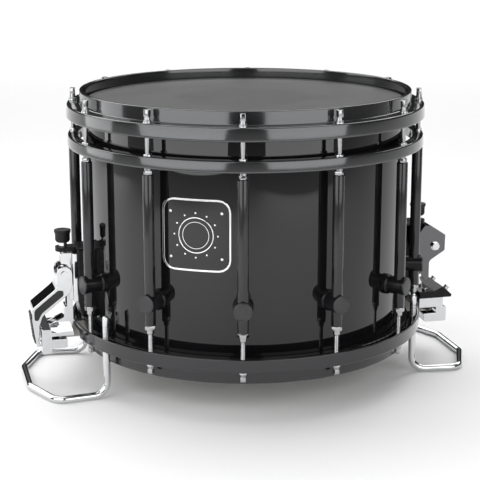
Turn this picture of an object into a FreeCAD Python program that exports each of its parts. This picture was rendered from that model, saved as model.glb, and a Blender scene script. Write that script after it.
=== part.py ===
"""High-tension marching snare drum: 14 by 10 inch shell, twelve tube lugs, two strainers, two snare guards.

Millimetres, +Z up. The origin is on the floor, on the drum's axis. The snares run along X, from the
throw-off strainer at -X to the butt strainer at +X. Each strainer is drawn on the +X side, where x is
the distance from the drum's axis, and the throw-off is then turned half round to -X.
"""
import FreeCAD, Part
import math
import os

Vector = FreeCAD.Vector
UP = Vector(0, 0, 1)

# Shell and heads
SHELL_RADIUS = 177.8
SHELL_WALL = 7.0
SHELL_BOTTOM = 57.5
SHELL_TOP = SHELL_BOTTOM + 254.0
BEARING_EDGE = 4.5
SNARE_BED_DEPTH = 1.6
SNARE_BED_HALF_WIDTH = 34.0
FILM = 0.4
FILM_GAP = 0.2
FILM_COLLAR_INNER = SHELL_RADIUS + 0.4
FLESH_HOOP_OUTER = 187.0
FLESH_HOOP_HEIGHT = 7.5

# Rims: an inner collar, a flange that carries the rods and an outer skirt
RIM_COLLAR_INNER = 181.0
RIM_COLLAR_OUTER = 185.0
RIM_SKIRT_INNER = 197.4
RIM_RADIUS = 200.0
RIM_FLANGE = 4.0
RIM_EDGE_ROUND = 0.8
BATTER_RIM_TOP = 323.5
BATTER_FLANGE_TOP = 308.8
BATTER_SKIRT_BOTTOM = 294.4
SNARE_RIM_BOTTOM = 38.0
SNARE_FLANGE_BOTTOM = 53.8
SNARE_SKIRT_TOP = 68.5
SNARE_GATE_HALF_WIDTH = 32.0
SNARE_GATE_TOP = 62.6

# Tension rods, tube lugs and the second tension ring
LUG_COUNT = 12
FIRST_LUG_ANGLE = 15.0
ROD_CIRCLE = 194.0
ROD_RADIUS = 2.7
ROD_HOLE_RADIUS = 2.9
ROD_HEAD_WIDTH = 5.6
WASHER_RADIUS = 4.6
WASHER_HEIGHT = 1.2
RING_INNER = 187.4
RING_OUTER = 199.4
RING_BOTTOM = 262.9
RING_TOP = 275.1
TUBE_RADIUS = 6.0
TUBE_BORE = 3.4
TUBE_BOTTOM = 96.2
TUBE_TOP = 256.0
POST_AXIS = 120.4
POST_RADIUS = 9.6
POST_FOOT_RADIUS = 11.0
POST_END = 201.6
POST_CAP_RADIUS = 9.9
POST_CAP_FACE = 203.2
END_NUT_FLATS = 10.0
BATTER_ROD_END = 225.0
SNARE_ROD_END = 150.0

# Badge and air vent
BADGE_ANGLE = 239.2
BADGE_CENTRE = 193.5
BADGE_WIDTH = 74.0
BADGE_HEIGHT = 76.0
BADGE_PLATE = 1.0
BADGE_BORDER = 1.8
BADGE_BORDER_WIDTH = 2.4
RIVET_ACROSS = 27.5
RIVET_UP = 24.0
VENT_ANGLE = 90.0
VENT_HEIGHT = 190.0

# Snare guards: one bent rod on each side
GUARD_RADIUS = 4.0
GUARD_LEG = (175.6, 80.8)
GUARD_SHOULDER = (231.0, 88.0)
GUARD_NOSE = (254.0, 34.0)
GUARD_BEND = 15.0
GUARD_STUD_RADIUS = 3.0
GUARD_SLEEVE_RADIUS = 3.7
GUARD_SLEEVE_TOP = 93.0

# Snare strands
STRAND_COUNT = 18
STRAND_PITCH = 3.2
STRAND_RADIUS = 0.6
STRAND_HEIGHT = 56.1
STRAND_END = 219.0
STRAND_BAR_CENTRE = 215.0

# Strainers, in the +X side's own directions: x is the distance from the drum's axis
BASE_HALF_WIDTH = 20.0
BASE_FRONT = 196.0
PLATE_FRONT = 201.0
BASE_BOTTOM = 74.0
SPINDLE_X = 209.5
SPINDLE_RADIUS = 2.5
SPINDLE_NECK_RADIUS = 3.0
RUNNING_GAP = 0.05
SLIDE_GAP = 0.3
KNOB_RADIUS = 9.4
KNOB_HEIGHT = 14.0
KNOB_FLUTES = 12
ARM_THICKNESS = 5.0
ARM_RADIUS = 8.6
THROW_ARM_TOP = 153.0
BUTT_ARM_TOP = 160.5
SNAP_RING_RADIUS = 4.0
SNAP_RING_HEIGHT = 0.8
BASE_SCREW_HEIGHTS = (88.0, 134.0)
SLIDE_HALF_WIDTH = 7.7
SLIDE_BACK = PLATE_FRONT + SLIDE_GAP
SLIDE_FRONT = 205.0
FORK_FRONT = 213.0
FORK_HEIGHT = 13.0
FORK_DROP = 1.0
FORK_SLOT_HALF_WIDTH = 3.4
FORK_BRIDGE = 4.0
CLAMP_HALF_WIDTH = 30.0
CLAMP_BACK = 203.5
JAW_BOTTOM = 57.9
THROW_PLATE_TOP = 54.4
CLAMP_SCREW_OFFSET = 21.0
CLAMP_SCREW_RADIUS = 2.0
THROW_CLAMP_SCREW_Z = 49.0
THROW_CLAMP_FRONT = 238.8
BUTT_JAW_BOTTOM = 59.9
BUTT_JAW_FRONT = 233.0
BUTT_POCKET_FRONT = 224.0
BUTT_POCKET_FLOOR = 52.4
FOOT_BOTTOM = 71.0
FOOT_BACK_TOP = 79.0
FOOT_CREST = (232.7, 84.0)
FOOT_TIP = (244.0, 73.6)
BRACKET_BACK = 206.2
BRACKET_HALF_WIDTH = 13.5
BRACKET_BOLT_X = 227.0
BRACKET_BOLT_Z = 130.0

# Throw-off lever: a hood on two cheeks, with an eccentric pin on each cheek that lifts the carriage
PIVOT_X = 210.5
PIVOT_Z = 124.0
PIVOT_RADIUS = 2.5
LEVER_ROUND = 8.6
LEVER_HALF_WIDTH = 16.8
LEVER_WALL = 2.4
LEVER_WEB_TOP = 121.5
ECCENTRIC_THROW = 6.22
ECCENTRIC_START = 140.0
ECCENTRIC_PIN_RADIUS = 1.5
YOKE_SLOT_GAP = 0.25
YOKE_INNER = 8.0
YOKE_OUTER = 10.4
YOKE_FRONT = 207.6


def radial_direction(angle):
    """Unit vector at this angle from +X, in the plan."""
    return Vector(math.cos(math.radians(angle)), math.sin(math.radians(angle)), 0)


def path_edges(points, radii, closed):
    """Straight runs through the points, with a tangent arc of its own radius at each corner."""
    count = len(points)
    corners = []
    for index, point in enumerate(points):
        radius = radii[index]
        if radius <= 0 or (not closed and index in (0, count - 1)):
            corners.append((point, None, point))
            continue
        back = (points[index - 1] - point).normalize()
        ahead = (points[(index + 1) % count] - point).normalize()
        half = back.getAngle(ahead) / 2
        inward = (back + ahead).normalize()
        cut = radius / math.tan(half)
        middle = point + inward * (radius / math.sin(half) - radius)
        corners.append((point + back * cut, middle, point + ahead * cut))
    edges = []
    for index, (start, middle, end) in enumerate(corners):
        if middle is not None:
            edges.append(Part.Arc(start, middle, end).toShape())
        if closed or index < count - 1:
            following = corners[(index + 1) % count][0]
            if (following - end).Length > 1e-6:
                edges.append(Part.makeLine(end, following))
    return edges


def side_outline(corners):
    """Face in the XZ plane from (x, z, corner radius) corners."""
    points = [Vector(x, 0, z) for x, z, _ in corners]
    radii = [radius for _, _, radius in corners]
    return Part.Face(Part.Wire(path_edges(points, radii, True)))


def side_plate(corners, low_y, high_y):
    """Plate between two y values with a side outline."""
    plate = side_outline(corners).extrude(Vector(0, high_y - low_y, 0))
    plate.translate(Vector(0, low_y, 0))
    return plate


def both_sides(corners, inner_y, outer_y):
    """The same plate on the +Y and -Y sides."""
    return [side_plate(corners, inner_y, outer_y), side_plate(corners, -outer_y, -inner_y)]


def turned(corners):
    """Solid turned about the Z axis from (radius, z, corner radius) corners."""
    return side_outline(corners).revolve(Vector(), UP, 360)


def box(low_x, high_x, half_y, low_z, high_z):
    """Block that is symmetric across the XZ plane."""
    size = Vector(high_x - low_x, 2 * half_y, high_z - low_z)
    return Part.makeBox(size.x, size.y, size.z, Vector(low_x, -half_y, low_z))


def upright_rod(radius, low_z, high_z, x=0.0, y=0.0):
    """Vertical cylinder."""
    return Part.makeCylinder(radius, high_z - low_z, Vector(x, y, low_z), UP)


def cross_rod(radius, low_y, high_y, x, z):
    """Cylinder along Y."""
    return Part.makeCylinder(radius, high_y - low_y, Vector(x, low_y, z), Vector(0, 1, 0))


def radial_rod(radius, low_x, high_x, z, y=0.0):
    """Cylinder along X."""
    return Part.makeCylinder(radius, high_x - low_x, Vector(low_x, y, z), Vector(1, 0, 0))


def hex_prism(flats, low_z, high_z):
    """Upright hexagonal prism on the Z axis."""
    corner = flats / math.sqrt(3)
    ring = [radial_direction(60 * index) * corner + Vector(0, 0, low_z) for index in range(7)]
    return Part.Face(Part.makePolygon(ring)).extrude(Vector(0, 0, high_z - low_z))


def moved(shape, x=0.0, y=0.0, z=0.0):
    """Copy of a shape in another place."""
    copy = shape.copy()
    copy.translate(Vector(x, y, z))
    return copy


def spun(shape, angle):
    """Copy of a shape turned about the drum's axis."""
    copy = shape.copy()
    copy.rotate(Vector(), UP, angle)
    return copy


def fused(shapes):
    """One solid from touching shapes, without seams between flush faces."""
    return shapes[0].fuse(shapes[1:]).removeSplitter()


def lug_angles():
    """Angles of the twelve lugs."""
    return [FIRST_LUG_ANGLE + 360.0 / LUG_COUNT * index for index in range(LUG_COUNT)]


def at_every_lug(shape):
    """One copy at each lug of a shape drawn on the +X axis."""
    return Part.makeCompound([spun(shape, angle) for angle in lug_angles()])


def rod_holes(low_z, high_z):
    """Cutters for the tension rods through a rim or ring."""
    return at_every_lug(upright_rod(ROD_HOLE_RADIUS, low_z, high_z, ROD_CIRCLE))


# ---------------------------------------------------------------- shell, badge and vent


def make_shell():
    """Wooden shell with 45 degree bearing edges, snare beds, screw holes and the vent hole."""
    inner = SHELL_RADIUS - SHELL_WALL
    top_edge = SHELL_TOP - BEARING_EDGE
    bottom_edge = SHELL_BOTTOM + BEARING_EDGE
    shell = turned([
        (SHELL_RADIUS, SHELL_BOTTOM, 1.2),
        (SHELL_RADIUS, SHELL_TOP, 1.2),
        (SHELL_RADIUS - SHELL_WALL + BEARING_EDGE, SHELL_TOP, 0),
        (inner, top_edge, 0),
        (inner, bottom_edge, 0),
        (SHELL_RADIUS - SHELL_WALL + BEARING_EDGE, SHELL_BOTTOM, 0),
    ])
    half = SNARE_BED_HALF_WIDTH
    bed_radius = (half ** 2 + SNARE_BED_DEPTH ** 2) / (2 * SNARE_BED_DEPTH)
    bed_axis = SHELL_BOTTOM + SNARE_BED_DEPTH - bed_radius
    beds = radial_rod(bed_radius, -SHELL_RADIUS - 1, SHELL_RADIUS + 1, bed_axis)
    screw_hole = radial_rod(3.1, inner - 1, SHELL_RADIUS + 1, POST_AXIS)
    vent_hole = spun(radial_rod(5.0, inner - 1, SHELL_RADIUS + 1, VENT_HEIGHT), VENT_ANGLE)
    strainer_holes = [
        spun(radial_rod(3.1, inner - 1, SHELL_RADIUS + 1, z), angle)
        for z in BASE_SCREW_HEIGHTS for angle in (0, 180)
    ]
    return shell.cut([beds, at_every_lug(screw_hole), vent_hole] + strainer_holes)


def badge_slab(width, height, inner, outer):
    """Part of a tube wall cut to an upright rounded panel around the badge's centre."""
    corner = 15.0
    rim = [
        Vector(0, -width / 2, -height / 2), Vector(0, width / 2, -height / 2),
        Vector(0, width / 2, height / 2), Vector(0, -width / 2, height / 2),
    ]
    face = Part.Face(Part.Wire(path_edges(rim, [corner * width / BADGE_WIDTH] * 4, True)))
    prism = face.extrude(Vector(60, 0, 0))
    prism.translate(Vector(150, 0, BADGE_CENTRE))
    low_z = BADGE_CENTRE - height
    wall = upright_rod(outer, low_z, low_z + 2 * height).cut(upright_rod(inner, low_z, low_z + 2 * height))
    return prism.common(wall)


def make_badge_plate():
    """Plain curved plate with a raised border, riveted to the shell."""
    back = SHELL_RADIUS
    plate = badge_slab(BADGE_WIDTH, BADGE_HEIGHT, back, back + BADGE_PLATE)
    border = badge_slab(BADGE_WIDTH, BADGE_HEIGHT, back, back + BADGE_BORDER)
    inside = badge_slab(
        BADGE_WIDTH - 2 * BADGE_BORDER_WIDTH, BADGE_HEIGHT - 2 * BADGE_BORDER_WIDTH, back - 1, back + 9
    )
    return spun(fused([plate, border.cut(inside)]), BADGE_ANGLE)


def make_badge_rivets():
    """Four domed rivets near the badge's corners."""
    rivets = []
    across = math.degrees(RIVET_ACROSS / SHELL_RADIUS)
    start = SHELL_RADIUS + BADGE_PLATE
    for angle in (BADGE_ANGLE - across, BADGE_ANGLE + across):
        for z in (BADGE_CENTRE - RIVET_UP, BADGE_CENTRE + RIVET_UP):
            rivet = radial_rod(1.7, start, start + 1.1, z)
            dome_edge = [edge for edge in rivet.Edges if edge.BoundBox.XMin > start + 1]
            rivets.append(spun(rivet.makeFillet(0.7, dome_edge), angle))
    return Part.makeCompound(rivets)


def make_air_vent():
    """Flanged eyelet through the shell at the back."""
    inner = SHELL_RADIUS - SHELL_WALL
    flange = radial_rod(9.0, SHELL_RADIUS - 0.4, SHELL_RADIUS + 1.6, VENT_HEIGHT)
    barrel = radial_rod(5.0, inner - 1.0, SHELL_RADIUS + 1.0, VENT_HEIGHT)
    lip = radial_rod(7.5, inner - 1.4, inner - 0.2, VENT_HEIGHT)
    eyelet = fused([flange.cut(upright_rod(SHELL_RADIUS, 0, 400)), barrel, lip])
    return spun(eyelet.cut(radial_rod(3.8, inner - 5, SHELL_RADIUS + 5, VENT_HEIGHT)), VENT_ANGLE)


# ---------------------------------------------------------------- heads and rims


def head_film(film_z, edge_z, upward):
    """Film disc with a collar that turns along the shell into the flesh hoop."""
    inner = FILM_COLLAR_INNER
    outer = inner + FILM
    face = film_z + FILM if upward else film_z - FILM
    return turned([
        (0, film_z, 0), (inner, film_z, 1.2), (inner, edge_z, 0),
        (outer, edge_z, 0), (outer, face, 1.6), (0, face, 0),
    ])


def make_batter_head():
    """Playing head."""
    return head_film(SHELL_TOP + FILM_GAP, BATTER_FLANGE_TOP - RIM_FLANGE - 5.5, True)


def make_snare_side_head():
    """Thin resonant head under the shell."""
    edge = SNARE_FLANGE_BOTTOM + RIM_FLANGE + 5.5
    return head_film(SHELL_BOTTOM - 0.1, edge, False)


def flesh_hoop(low_z):
    """Metal channel that holds a head's edge."""
    inner = FILM_COLLAR_INNER + FILM
    high_z = low_z + FLESH_HOOP_HEIGHT
    return turned([
        (inner, low_z, 0.4), (FLESH_HOOP_OUTER, low_z, 1.0),
        (FLESH_HOOP_OUTER, high_z, 1.0), (inner, high_z, 0.4),
    ])


def make_batter_flesh_hoop():
    """Flesh hoop of the playing head, under the rim's flange."""
    return flesh_hoop(BATTER_FLANGE_TOP - RIM_FLANGE - FLESH_HOOP_HEIGHT)


def make_snare_side_flesh_hoop():
    """Flesh hoop of the resonant head, on the lower rim's flange."""
    return flesh_hoop(SNARE_FLANGE_BOTTOM + RIM_FLANGE)


def rim(edge_z, flange_z, skirt_z):
    """Rim from its striking edge, its flange's outward face and its skirt's far edge."""
    inward = math.copysign(RIM_FLANGE, flange_z - edge_z)
    seat = flange_z + inward
    return turned([
        (RIM_COLLAR_INNER, seat, 0.4), (RIM_COLLAR_INNER, edge_z, RIM_EDGE_ROUND),
        (RIM_COLLAR_OUTER, edge_z, RIM_EDGE_ROUND), (RIM_COLLAR_OUTER, flange_z, 2.0),
        (RIM_RADIUS, flange_z, 1.6), (RIM_RADIUS, skirt_z, RIM_EDGE_ROUND),
        (RIM_SKIRT_INNER, skirt_z, RIM_EDGE_ROUND), (RIM_SKIRT_INNER, seat, 0.6),
    ])


def make_batter_hoop():
    """Upper rim with twelve rod holes."""
    hoop = rim(BATTER_RIM_TOP, BATTER_FLANGE_TOP, BATTER_SKIRT_BOTTOM)
    return hoop.cut(rod_holes(BATTER_FLANGE_TOP - 6, BATTER_FLANGE_TOP + 2))


def guard_places():
    """Plan positions of the four guard legs."""
    x, y = GUARD_LEG
    return [(sx * x, sy * y) for sx in (1, -1) for sy in (1, -1)]


def make_snare_side_hoop():
    """Lower rim with rod holes, guard holes and a gate for the snares on each side."""
    hoop = rim(SNARE_RIM_BOTTOM, SNARE_FLANGE_BOTTOM, SNARE_SKIRT_TOP)
    low, high = SNARE_FLANGE_BOTTOM - 2, SNARE_FLANGE_BOTTOM + 6
    half = SNARE_GATE_HALF_WIDTH
    gate = box(-RIM_RADIUS - 5, -150, half, SNARE_RIM_BOTTOM - 20, SNARE_GATE_TOP)
    upright = [edge for edge in gate.Edges if abs(edge.BoundBox.XLength) > 10 and edge.BoundBox.ZMin > 50]
    gate = gate.makeFillet(4.0, upright)
    legs = [upright_rod(GUARD_STUD_RADIUS + 0.2, low, high, x, y) for x, y in guard_places()]
    return hoop.cut([rod_holes(low, high), gate, spun(gate, 180)] + legs)


# ---------------------------------------------------------------- tension hardware


def square_head(low_z, height):
    """Drum-key head on a tapered collar, pointing up from low_z."""
    collar = turned([(0, low_z, 0), (4.2, low_z, 0), (4.2, low_z + 1.2, 0.5),
                     (3.0, low_z + height * 0.45, 0), (0, low_z + height * 0.45, 0)])
    half = ROD_HEAD_WIDTH / 2
    start = low_z + height * 0.4
    key = box(-half, half, half, start, low_z + height)
    top = [edge for edge in key.Edges if edge.BoundBox.ZMin > start + 1]
    return fused([collar, key.makeChamfer(0.6, top)])


def make_batter_rods():
    """Twelve long tension rods, from the upper rim through the ring into the tube lugs."""
    seat = BATTER_FLANGE_TOP + WASHER_HEIGHT
    head = square_head(seat, 12.6)
    rod = fused([head, upright_rod(ROD_RADIUS, BATTER_ROD_END, seat)])
    return at_every_lug(moved(rod, ROD_CIRCLE))


def make_snare_side_rods():
    """Twelve tension rods that come up through the lower rim."""
    seat = SNARE_FLANGE_BOTTOM - WASHER_HEIGHT
    head = square_head(-seat, 9.0)
    head.rotate(Vector(), Vector(1, 0, 0), 180)
    rod = fused([head, upright_rod(ROD_RADIUS, seat, SNARE_ROD_END)])
    return at_every_lug(moved(rod, ROD_CIRCLE))


def washers(low_z):
    """A washer on each rod, against the rim."""
    disc = upright_rod(WASHER_RADIUS, low_z, low_z + WASHER_HEIGHT, ROD_CIRCLE)
    return at_every_lug(disc.cut(upright_rod(ROD_RADIUS, low_z - 1, low_z + 5, ROD_CIRCLE)))


def make_batter_rod_washers():
    """Washers on the upper rim."""
    return washers(BATTER_FLANGE_TOP)


def make_snare_side_rod_washers():
    """Washers under the lower rim."""
    return washers(SNARE_FLANGE_BOTTOM - WASHER_HEIGHT)


def make_tension_ring():
    """Second ring, which the tube lugs carry and the long rods pass through."""
    ring = turned([
        (RING_INNER, RING_BOTTOM, 1.0), (RING_OUTER, RING_BOTTOM, 1.6),
        (RING_OUTER, RING_TOP, 1.6), (RING_INNER, RING_TOP, 1.0),
    ])
    return ring.cut(rod_holes(RING_BOTTOM - 2, RING_TOP + 2))


def make_ring_ferrules():
    """Small rolled bush on top of the ring at each rod."""
    bush = turned([
        (ROD_RADIUS, RING_TOP, 0), (4.4, RING_TOP, 0),
        (4.4, RING_TOP + 2.5, 1.2), (ROD_RADIUS, RING_TOP + 2.5, 0),
    ])
    return at_every_lug(moved(bush, ROD_CIRCLE))


def make_ring_nuts():
    """Hexagonal shoulder nut between each tube lug and the ring."""
    nut = hex_prism(8.6, TUBE_TOP, TUBE_TOP + 4.2)
    neck = upright_rod(3.7, TUBE_TOP + 4.2, RING_BOTTOM)
    bore = upright_rod(ROD_RADIUS, TUBE_TOP - 1, RING_BOTTOM + 1)
    return at_every_lug(moved(fused([nut, neck]).cut(bore), ROD_CIRCLE))


def make_tube_lugs():
    """Twelve tube lugs, hollow for the rods."""
    tube = turned([
        (TUBE_BORE, TUBE_BOTTOM, 0), (TUBE_RADIUS, TUBE_BOTTOM, 0.6),
        (TUBE_RADIUS, TUBE_TOP, 0.6), (TUBE_BORE, TUBE_TOP, 0),
    ])
    return at_every_lug(moved(tube, ROD_CIRCLE))


def make_lug_posts():
    """Round posts that stand out from the shell and hold the tubes."""
    foot_end = SHELL_RADIUS + 5.0
    profile = turned([
        (0, SHELL_RADIUS - 4, 0), (POST_FOOT_RADIUS, SHELL_RADIUS - 4, 0),
        (POST_FOOT_RADIUS, foot_end - 1.5, 1.0), (POST_RADIUS, foot_end, 0),
        (POST_RADIUS, POST_END, 0.5), (0, POST_END, 0),
    ])
    profile.rotate(Vector(), Vector(0, 1, 0), 90)
    post = moved(profile, 0, 0, POST_AXIS)
    bore = upright_rod(TUBE_RADIUS, POST_AXIS - 20, POST_AXIS + 20, ROD_CIRCLE)
    screw = radial_rod(3.0, SHELL_RADIUS - 10, SHELL_RADIUS + 8, POST_AXIS)
    saddle = upright_rod(SHELL_RADIUS, POST_AXIS - 20, POST_AXIS + 20)
    return at_every_lug(post.cut([bore, screw, saddle]))


def make_post_caps():
    """Polished disc on the outer end of each post."""
    cap = radial_rod(POST_CAP_RADIUS, POST_END, POST_CAP_FACE, POST_AXIS)
    face_edge = [edge for edge in cap.Edges if edge.BoundBox.XMin > POST_CAP_FACE - 0.1]
    return at_every_lug(cap.makeFillet(0.8, face_edge))


def shell_screw(z):
    """Screw with a washer, from inside the shell, drawn on the +X axis."""
    inner = SHELL_RADIUS - SHELL_WALL
    flat = math.sqrt(inner ** 2 - 8.0 ** 2)
    washer = radial_rod(8.0, flat - 1.4, flat, z)
    head = radial_rod(5.0, flat - 5.4, flat - 1.4, z)
    head = head.makeFillet(0.8, [edge for edge in head.Edges if edge.BoundBox.XMax < flat - 5.3])
    shank = radial_rod(3.0, flat - 2, SHELL_RADIUS + 7, z)
    return fused([washer, head, shank])


def make_post_screws():
    """Twelve screws that hold the posts from inside."""
    return at_every_lug(shell_screw(POST_AXIS))


def make_lug_end_nuts():
    """Hexagonal end nut with a round collar under each tube lug."""
    nut = hex_prism(END_NUT_FLATS, TUBE_BOTTOM - 4.6, TUBE_BOTTOM)
    collar = upright_rod(3.9, TUBE_BOTTOM - 9.2, TUBE_BOTTOM - 4.6)
    bore = upright_rod(ROD_RADIUS, TUBE_BOTTOM - 12, TUBE_BOTTOM + 1)
    return at_every_lug(moved(fused([nut, collar]).cut(bore), ROD_CIRCLE))


# ---------------------------------------------------------------- snare guards


def guard_loop():
    """Bent rod guard on the +X side, with a stud on each leg."""
    leg_x, leg_y = GUARD_LEG
    z = GUARD_RADIUS
    leg_top = SNARE_FLANGE_BOTTOM
    half = [
        Vector(leg_x, leg_y, leg_top), Vector(leg_x, leg_y, z),
        Vector(GUARD_SHOULDER[0], GUARD_SHOULDER[1], z), Vector(GUARD_NOSE[0], GUARD_NOSE[1], z),
    ]
    points = half + [Vector(point.x, -point.y, point.z) for point in reversed(half)]
    spine = Part.Wire(path_edges(points, [GUARD_BEND] * len(points), False))
    section = Part.Wire(Part.makeCircle(GUARD_RADIUS, points[0], UP))
    rod = spine.makePipeShell([section], True, False)
    stud_top = GUARD_SLEEVE_TOP - 6
    studs = [upright_rod(GUARD_STUD_RADIUS, leg_top - 1, stud_top, leg_x, y) for y in (leg_y, -leg_y)]
    return fused([rod] + studs)


def make_snare_guard_butt():
    """Guard under the butt strainer."""
    return guard_loop()


def make_snare_guard_throw():
    """Guard under the throw-off."""
    return spun(guard_loop(), 180)


def make_guard_sleeves():
    """Acorn sleeve nuts that clamp the guard legs to the lower rim."""
    seat = SNARE_FLANGE_BOTTOM + RIM_FLANGE
    sleeve = turned([
        (0, seat, 0), (4.0, seat, 0), (4.0, seat + 2.0, 0.2), (GUARD_SLEEVE_RADIUS, seat + 2.4, 0),
        (GUARD_SLEEVE_RADIUS, GUARD_SLEEVE_TOP, 3.2), (0, GUARD_SLEEVE_TOP, 0),
    ])
    sleeve = sleeve.cut(upright_rod(GUARD_STUD_RADIUS, seat - 1, GUARD_SLEEVE_TOP - 6))
    return Part.makeCompound([moved(sleeve, x, y) for x, y in guard_places()])


# ---------------------------------------------------------------- strainer pieces that both sides share


def strainer_base(arm_top):
    """Cast base that fits the shell, with an arm above for the spindle."""
    block = side_plate([
        (SHELL_RADIUS - 6, BASE_BOTTOM, 0), (BASE_FRONT - 4, BASE_BOTTOM, 3.0), (BASE_FRONT, 93.0, 2.0),
        (BASE_FRONT, arm_top, 0.6), (SHELL_RADIUS - 6, arm_top, 0),
    ], -BASE_HALF_WIDTH, BASE_HALF_WIDTH)
    corners = [edge for edge in block.Edges
               if edge.BoundBox.XMin > BASE_FRONT - 5 and edge.BoundBox.ZLength > 10]
    block = block.makeFillet(2.5, corners)
    arm_bottom = arm_top - ARM_THICKNESS
    arm = box(BASE_FRONT - 6, SPINDLE_X, ARM_RADIUS, arm_bottom, arm_top)
    arm_end = upright_rod(ARM_RADIUS, arm_bottom, arm_top, SPINDLE_X)
    bore = upright_rod(SPINDLE_NECK_RADIUS + RUNNING_GAP, arm_bottom - 5, arm_top + 5, SPINDLE_X)
    saddle = upright_rod(SHELL_RADIUS, BASE_BOTTOM - 10, arm_top + 10)
    holes = [radial_rod(3.0, SHELL_RADIUS - 10, SHELL_RADIUS + 8, z) for z in BASE_SCREW_HEIGHTS]
    return fused([block, arm, arm_end]).cut([bore, saddle] + holes)


def strainer_face_plate(arm_top):
    """Bright plate on the base with two rails for the carriage."""
    top = arm_top - ARM_THICKNESS - 0.4
    plate = box(BASE_FRONT, PLATE_FRONT, BASE_HALF_WIDTH - 1.5, 93.0, top)
    upright = [edge for edge in plate.Edges
               if edge.BoundBox.XMin > PLATE_FRONT - 0.1 and edge.BoundBox.ZLength > 10]
    plate = plate.makeFillet(1.5, upright)
    rail_half = 1.65
    rail_centre = YOKE_OUTER + SLIDE_GAP + rail_half
    rail = box(PLATE_FRONT - 1, PLATE_FRONT + 4.6, rail_half, 94.0, 112.0)
    return fused([plate, moved(rail, 0, rail_centre), moved(rail, 0, -rail_centre)])


def strainer_base_screws():
    """Two screws that hold a base from inside the shell."""
    return Part.makeCompound([shell_screw(z) for z in BASE_SCREW_HEIGHTS])


def strainer_knob(arm_top):
    """Fluted knob with a flared top."""
    low = arm_top + 5.0
    top = low + KNOB_HEIGHT
    knob = turned([
        (0, low, 0), (7.4, low, 1.0), (8.0, low + 3, 1.5), (8.3, top - 4.5, 1.5),
        (KNOB_RADIUS, top - 2.6, 0.6), (KNOB_RADIUS, top, 0.9), (0, top, 0),
    ])
    flutes = [
        moved(upright_rod(1.1, low - 1, top + 1), *(radial_direction(360.0 / KNOB_FLUTES * turn) * 9.2)[:2])
        for turn in range(KNOB_FLUTES)
    ]
    return moved(knob.cut(flutes), SPINDLE_X)


def strainer_spindle(arm_top, end_z):
    """Spindle with a neck under the knob, a snap ring under the arm and a threaded end."""
    arm_bottom = arm_top - ARM_THICKNESS
    ring_top = arm_bottom - 0.2
    ring_bottom = ring_top - SNAP_RING_HEIGHT
    spindle = turned([
        (0, end_z, 0), (SPINDLE_RADIUS, end_z, 0.5), (SPINDLE_RADIUS, ring_bottom, 0),
        (SNAP_RING_RADIUS, ring_bottom, 0), (SNAP_RING_RADIUS, ring_top, 0),
        (SPINDLE_NECK_RADIUS, ring_top, 0), (SPINDLE_NECK_RADIUS, arm_top + 0.3, 0),
        (4.6, arm_top + 0.3, 0.4), (4.6, arm_top + 5.0, 0), (0, arm_top + 5.0, 0),
    ])
    return moved(spindle, SPINDLE_X)


def slide_head(arm_top):
    """Fork that hangs on the spindle's thread, with its slot open downwards and outwards."""
    top = arm_top - ARM_THICKNESS - FORK_DROP - 0.8
    low = top - FORK_HEIGHT
    block = side_plate([
        (SLIDE_BACK, low, 0), (FORK_FRONT, low, 1.0), (FORK_FRONT, top, 2.0), (SLIDE_BACK, top, 0),
    ], -SLIDE_HALF_WIDTH, SLIDE_HALF_WIDTH)
    slot = box(SPINDLE_X - FORK_SLOT_HALF_WIDTH, FORK_FRONT + 1, FORK_SLOT_HALF_WIDTH, low - 1,
               top - FORK_BRIDGE)
    bore = upright_rod(SPINDLE_RADIUS + RUNNING_GAP, low - 1, top + 1, SPINDLE_X)
    return block.cut([slot, bore])


def jaw_screws(front, z):
    """Two pan-head screws through a clamp's front block."""
    screws = []
    for y in (-CLAMP_SCREW_OFFSET, CLAMP_SCREW_OFFSET):
        head = radial_rod(3.8, front, front + 2.4, z, y)
        head = head.makeFillet(0.9, [edge for edge in head.Edges if edge.BoundBox.XMin > front + 2])
        screws.append(fused([head, radial_rod(CLAMP_SCREW_RADIUS, front - 18, front + 1, z, y)]))
    return screws


# ---------------------------------------------------------------- throw-off


def make_throw_base():
    """Base of the throw-off."""
    return spun(strainer_base(THROW_ARM_TOP), 180)


def make_throw_face_plate():
    """Face plate of the throw-off."""
    return spun(strainer_face_plate(THROW_ARM_TOP), 180)


def make_throw_base_screws():
    """Screws of the throw-off's base."""
    return spun(strainer_base_screws(), 180)


def make_throw_slide():
    """Height slide: the fork on the spindle, a back plate and the lever's pivot block."""
    back_plate = box(SLIDE_BACK, SLIDE_FRONT, SLIDE_HALF_WIDTH, 88.0, 135.0)
    pivot_block = cross_rod(5.8, -SLIDE_HALF_WIDTH, SLIDE_HALF_WIDTH, PIVOT_X, PIVOT_Z)
    web = box(SLIDE_BACK, PIVOT_X, SLIDE_HALF_WIDTH, PIVOT_Z - 5.8, 133.0)
    slide = fused([slide_head(THROW_ARM_TOP), back_plate, web, pivot_block])
    pocket = upright_rod(SPINDLE_RADIUS + 0.5, 128.5, 134.0, SPINDLE_X)
    pin = cross_rod(PIVOT_RADIUS, -20, 20, PIVOT_X, PIVOT_Z)
    return spun(slide.cut([pocket, pin]), 180)


def make_throw_pivot_pin():
    """Headed pin that the lever turns on."""
    end = LEVER_HALF_WIDTH + 0.4
    shank = cross_rod(PIVOT_RADIUS, -end, end, PIVOT_X, PIVOT_Z)
    heads = [cross_rod(4.0, side * end - 0.7, side * end + 0.7, PIVOT_X, PIVOT_Z) for side in (1, -1)]
    heads = [moved(head, 0, side * 0.7) for head, side in zip(heads, (1, -1))]
    return spun(fused([shank] + heads), 180)


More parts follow.
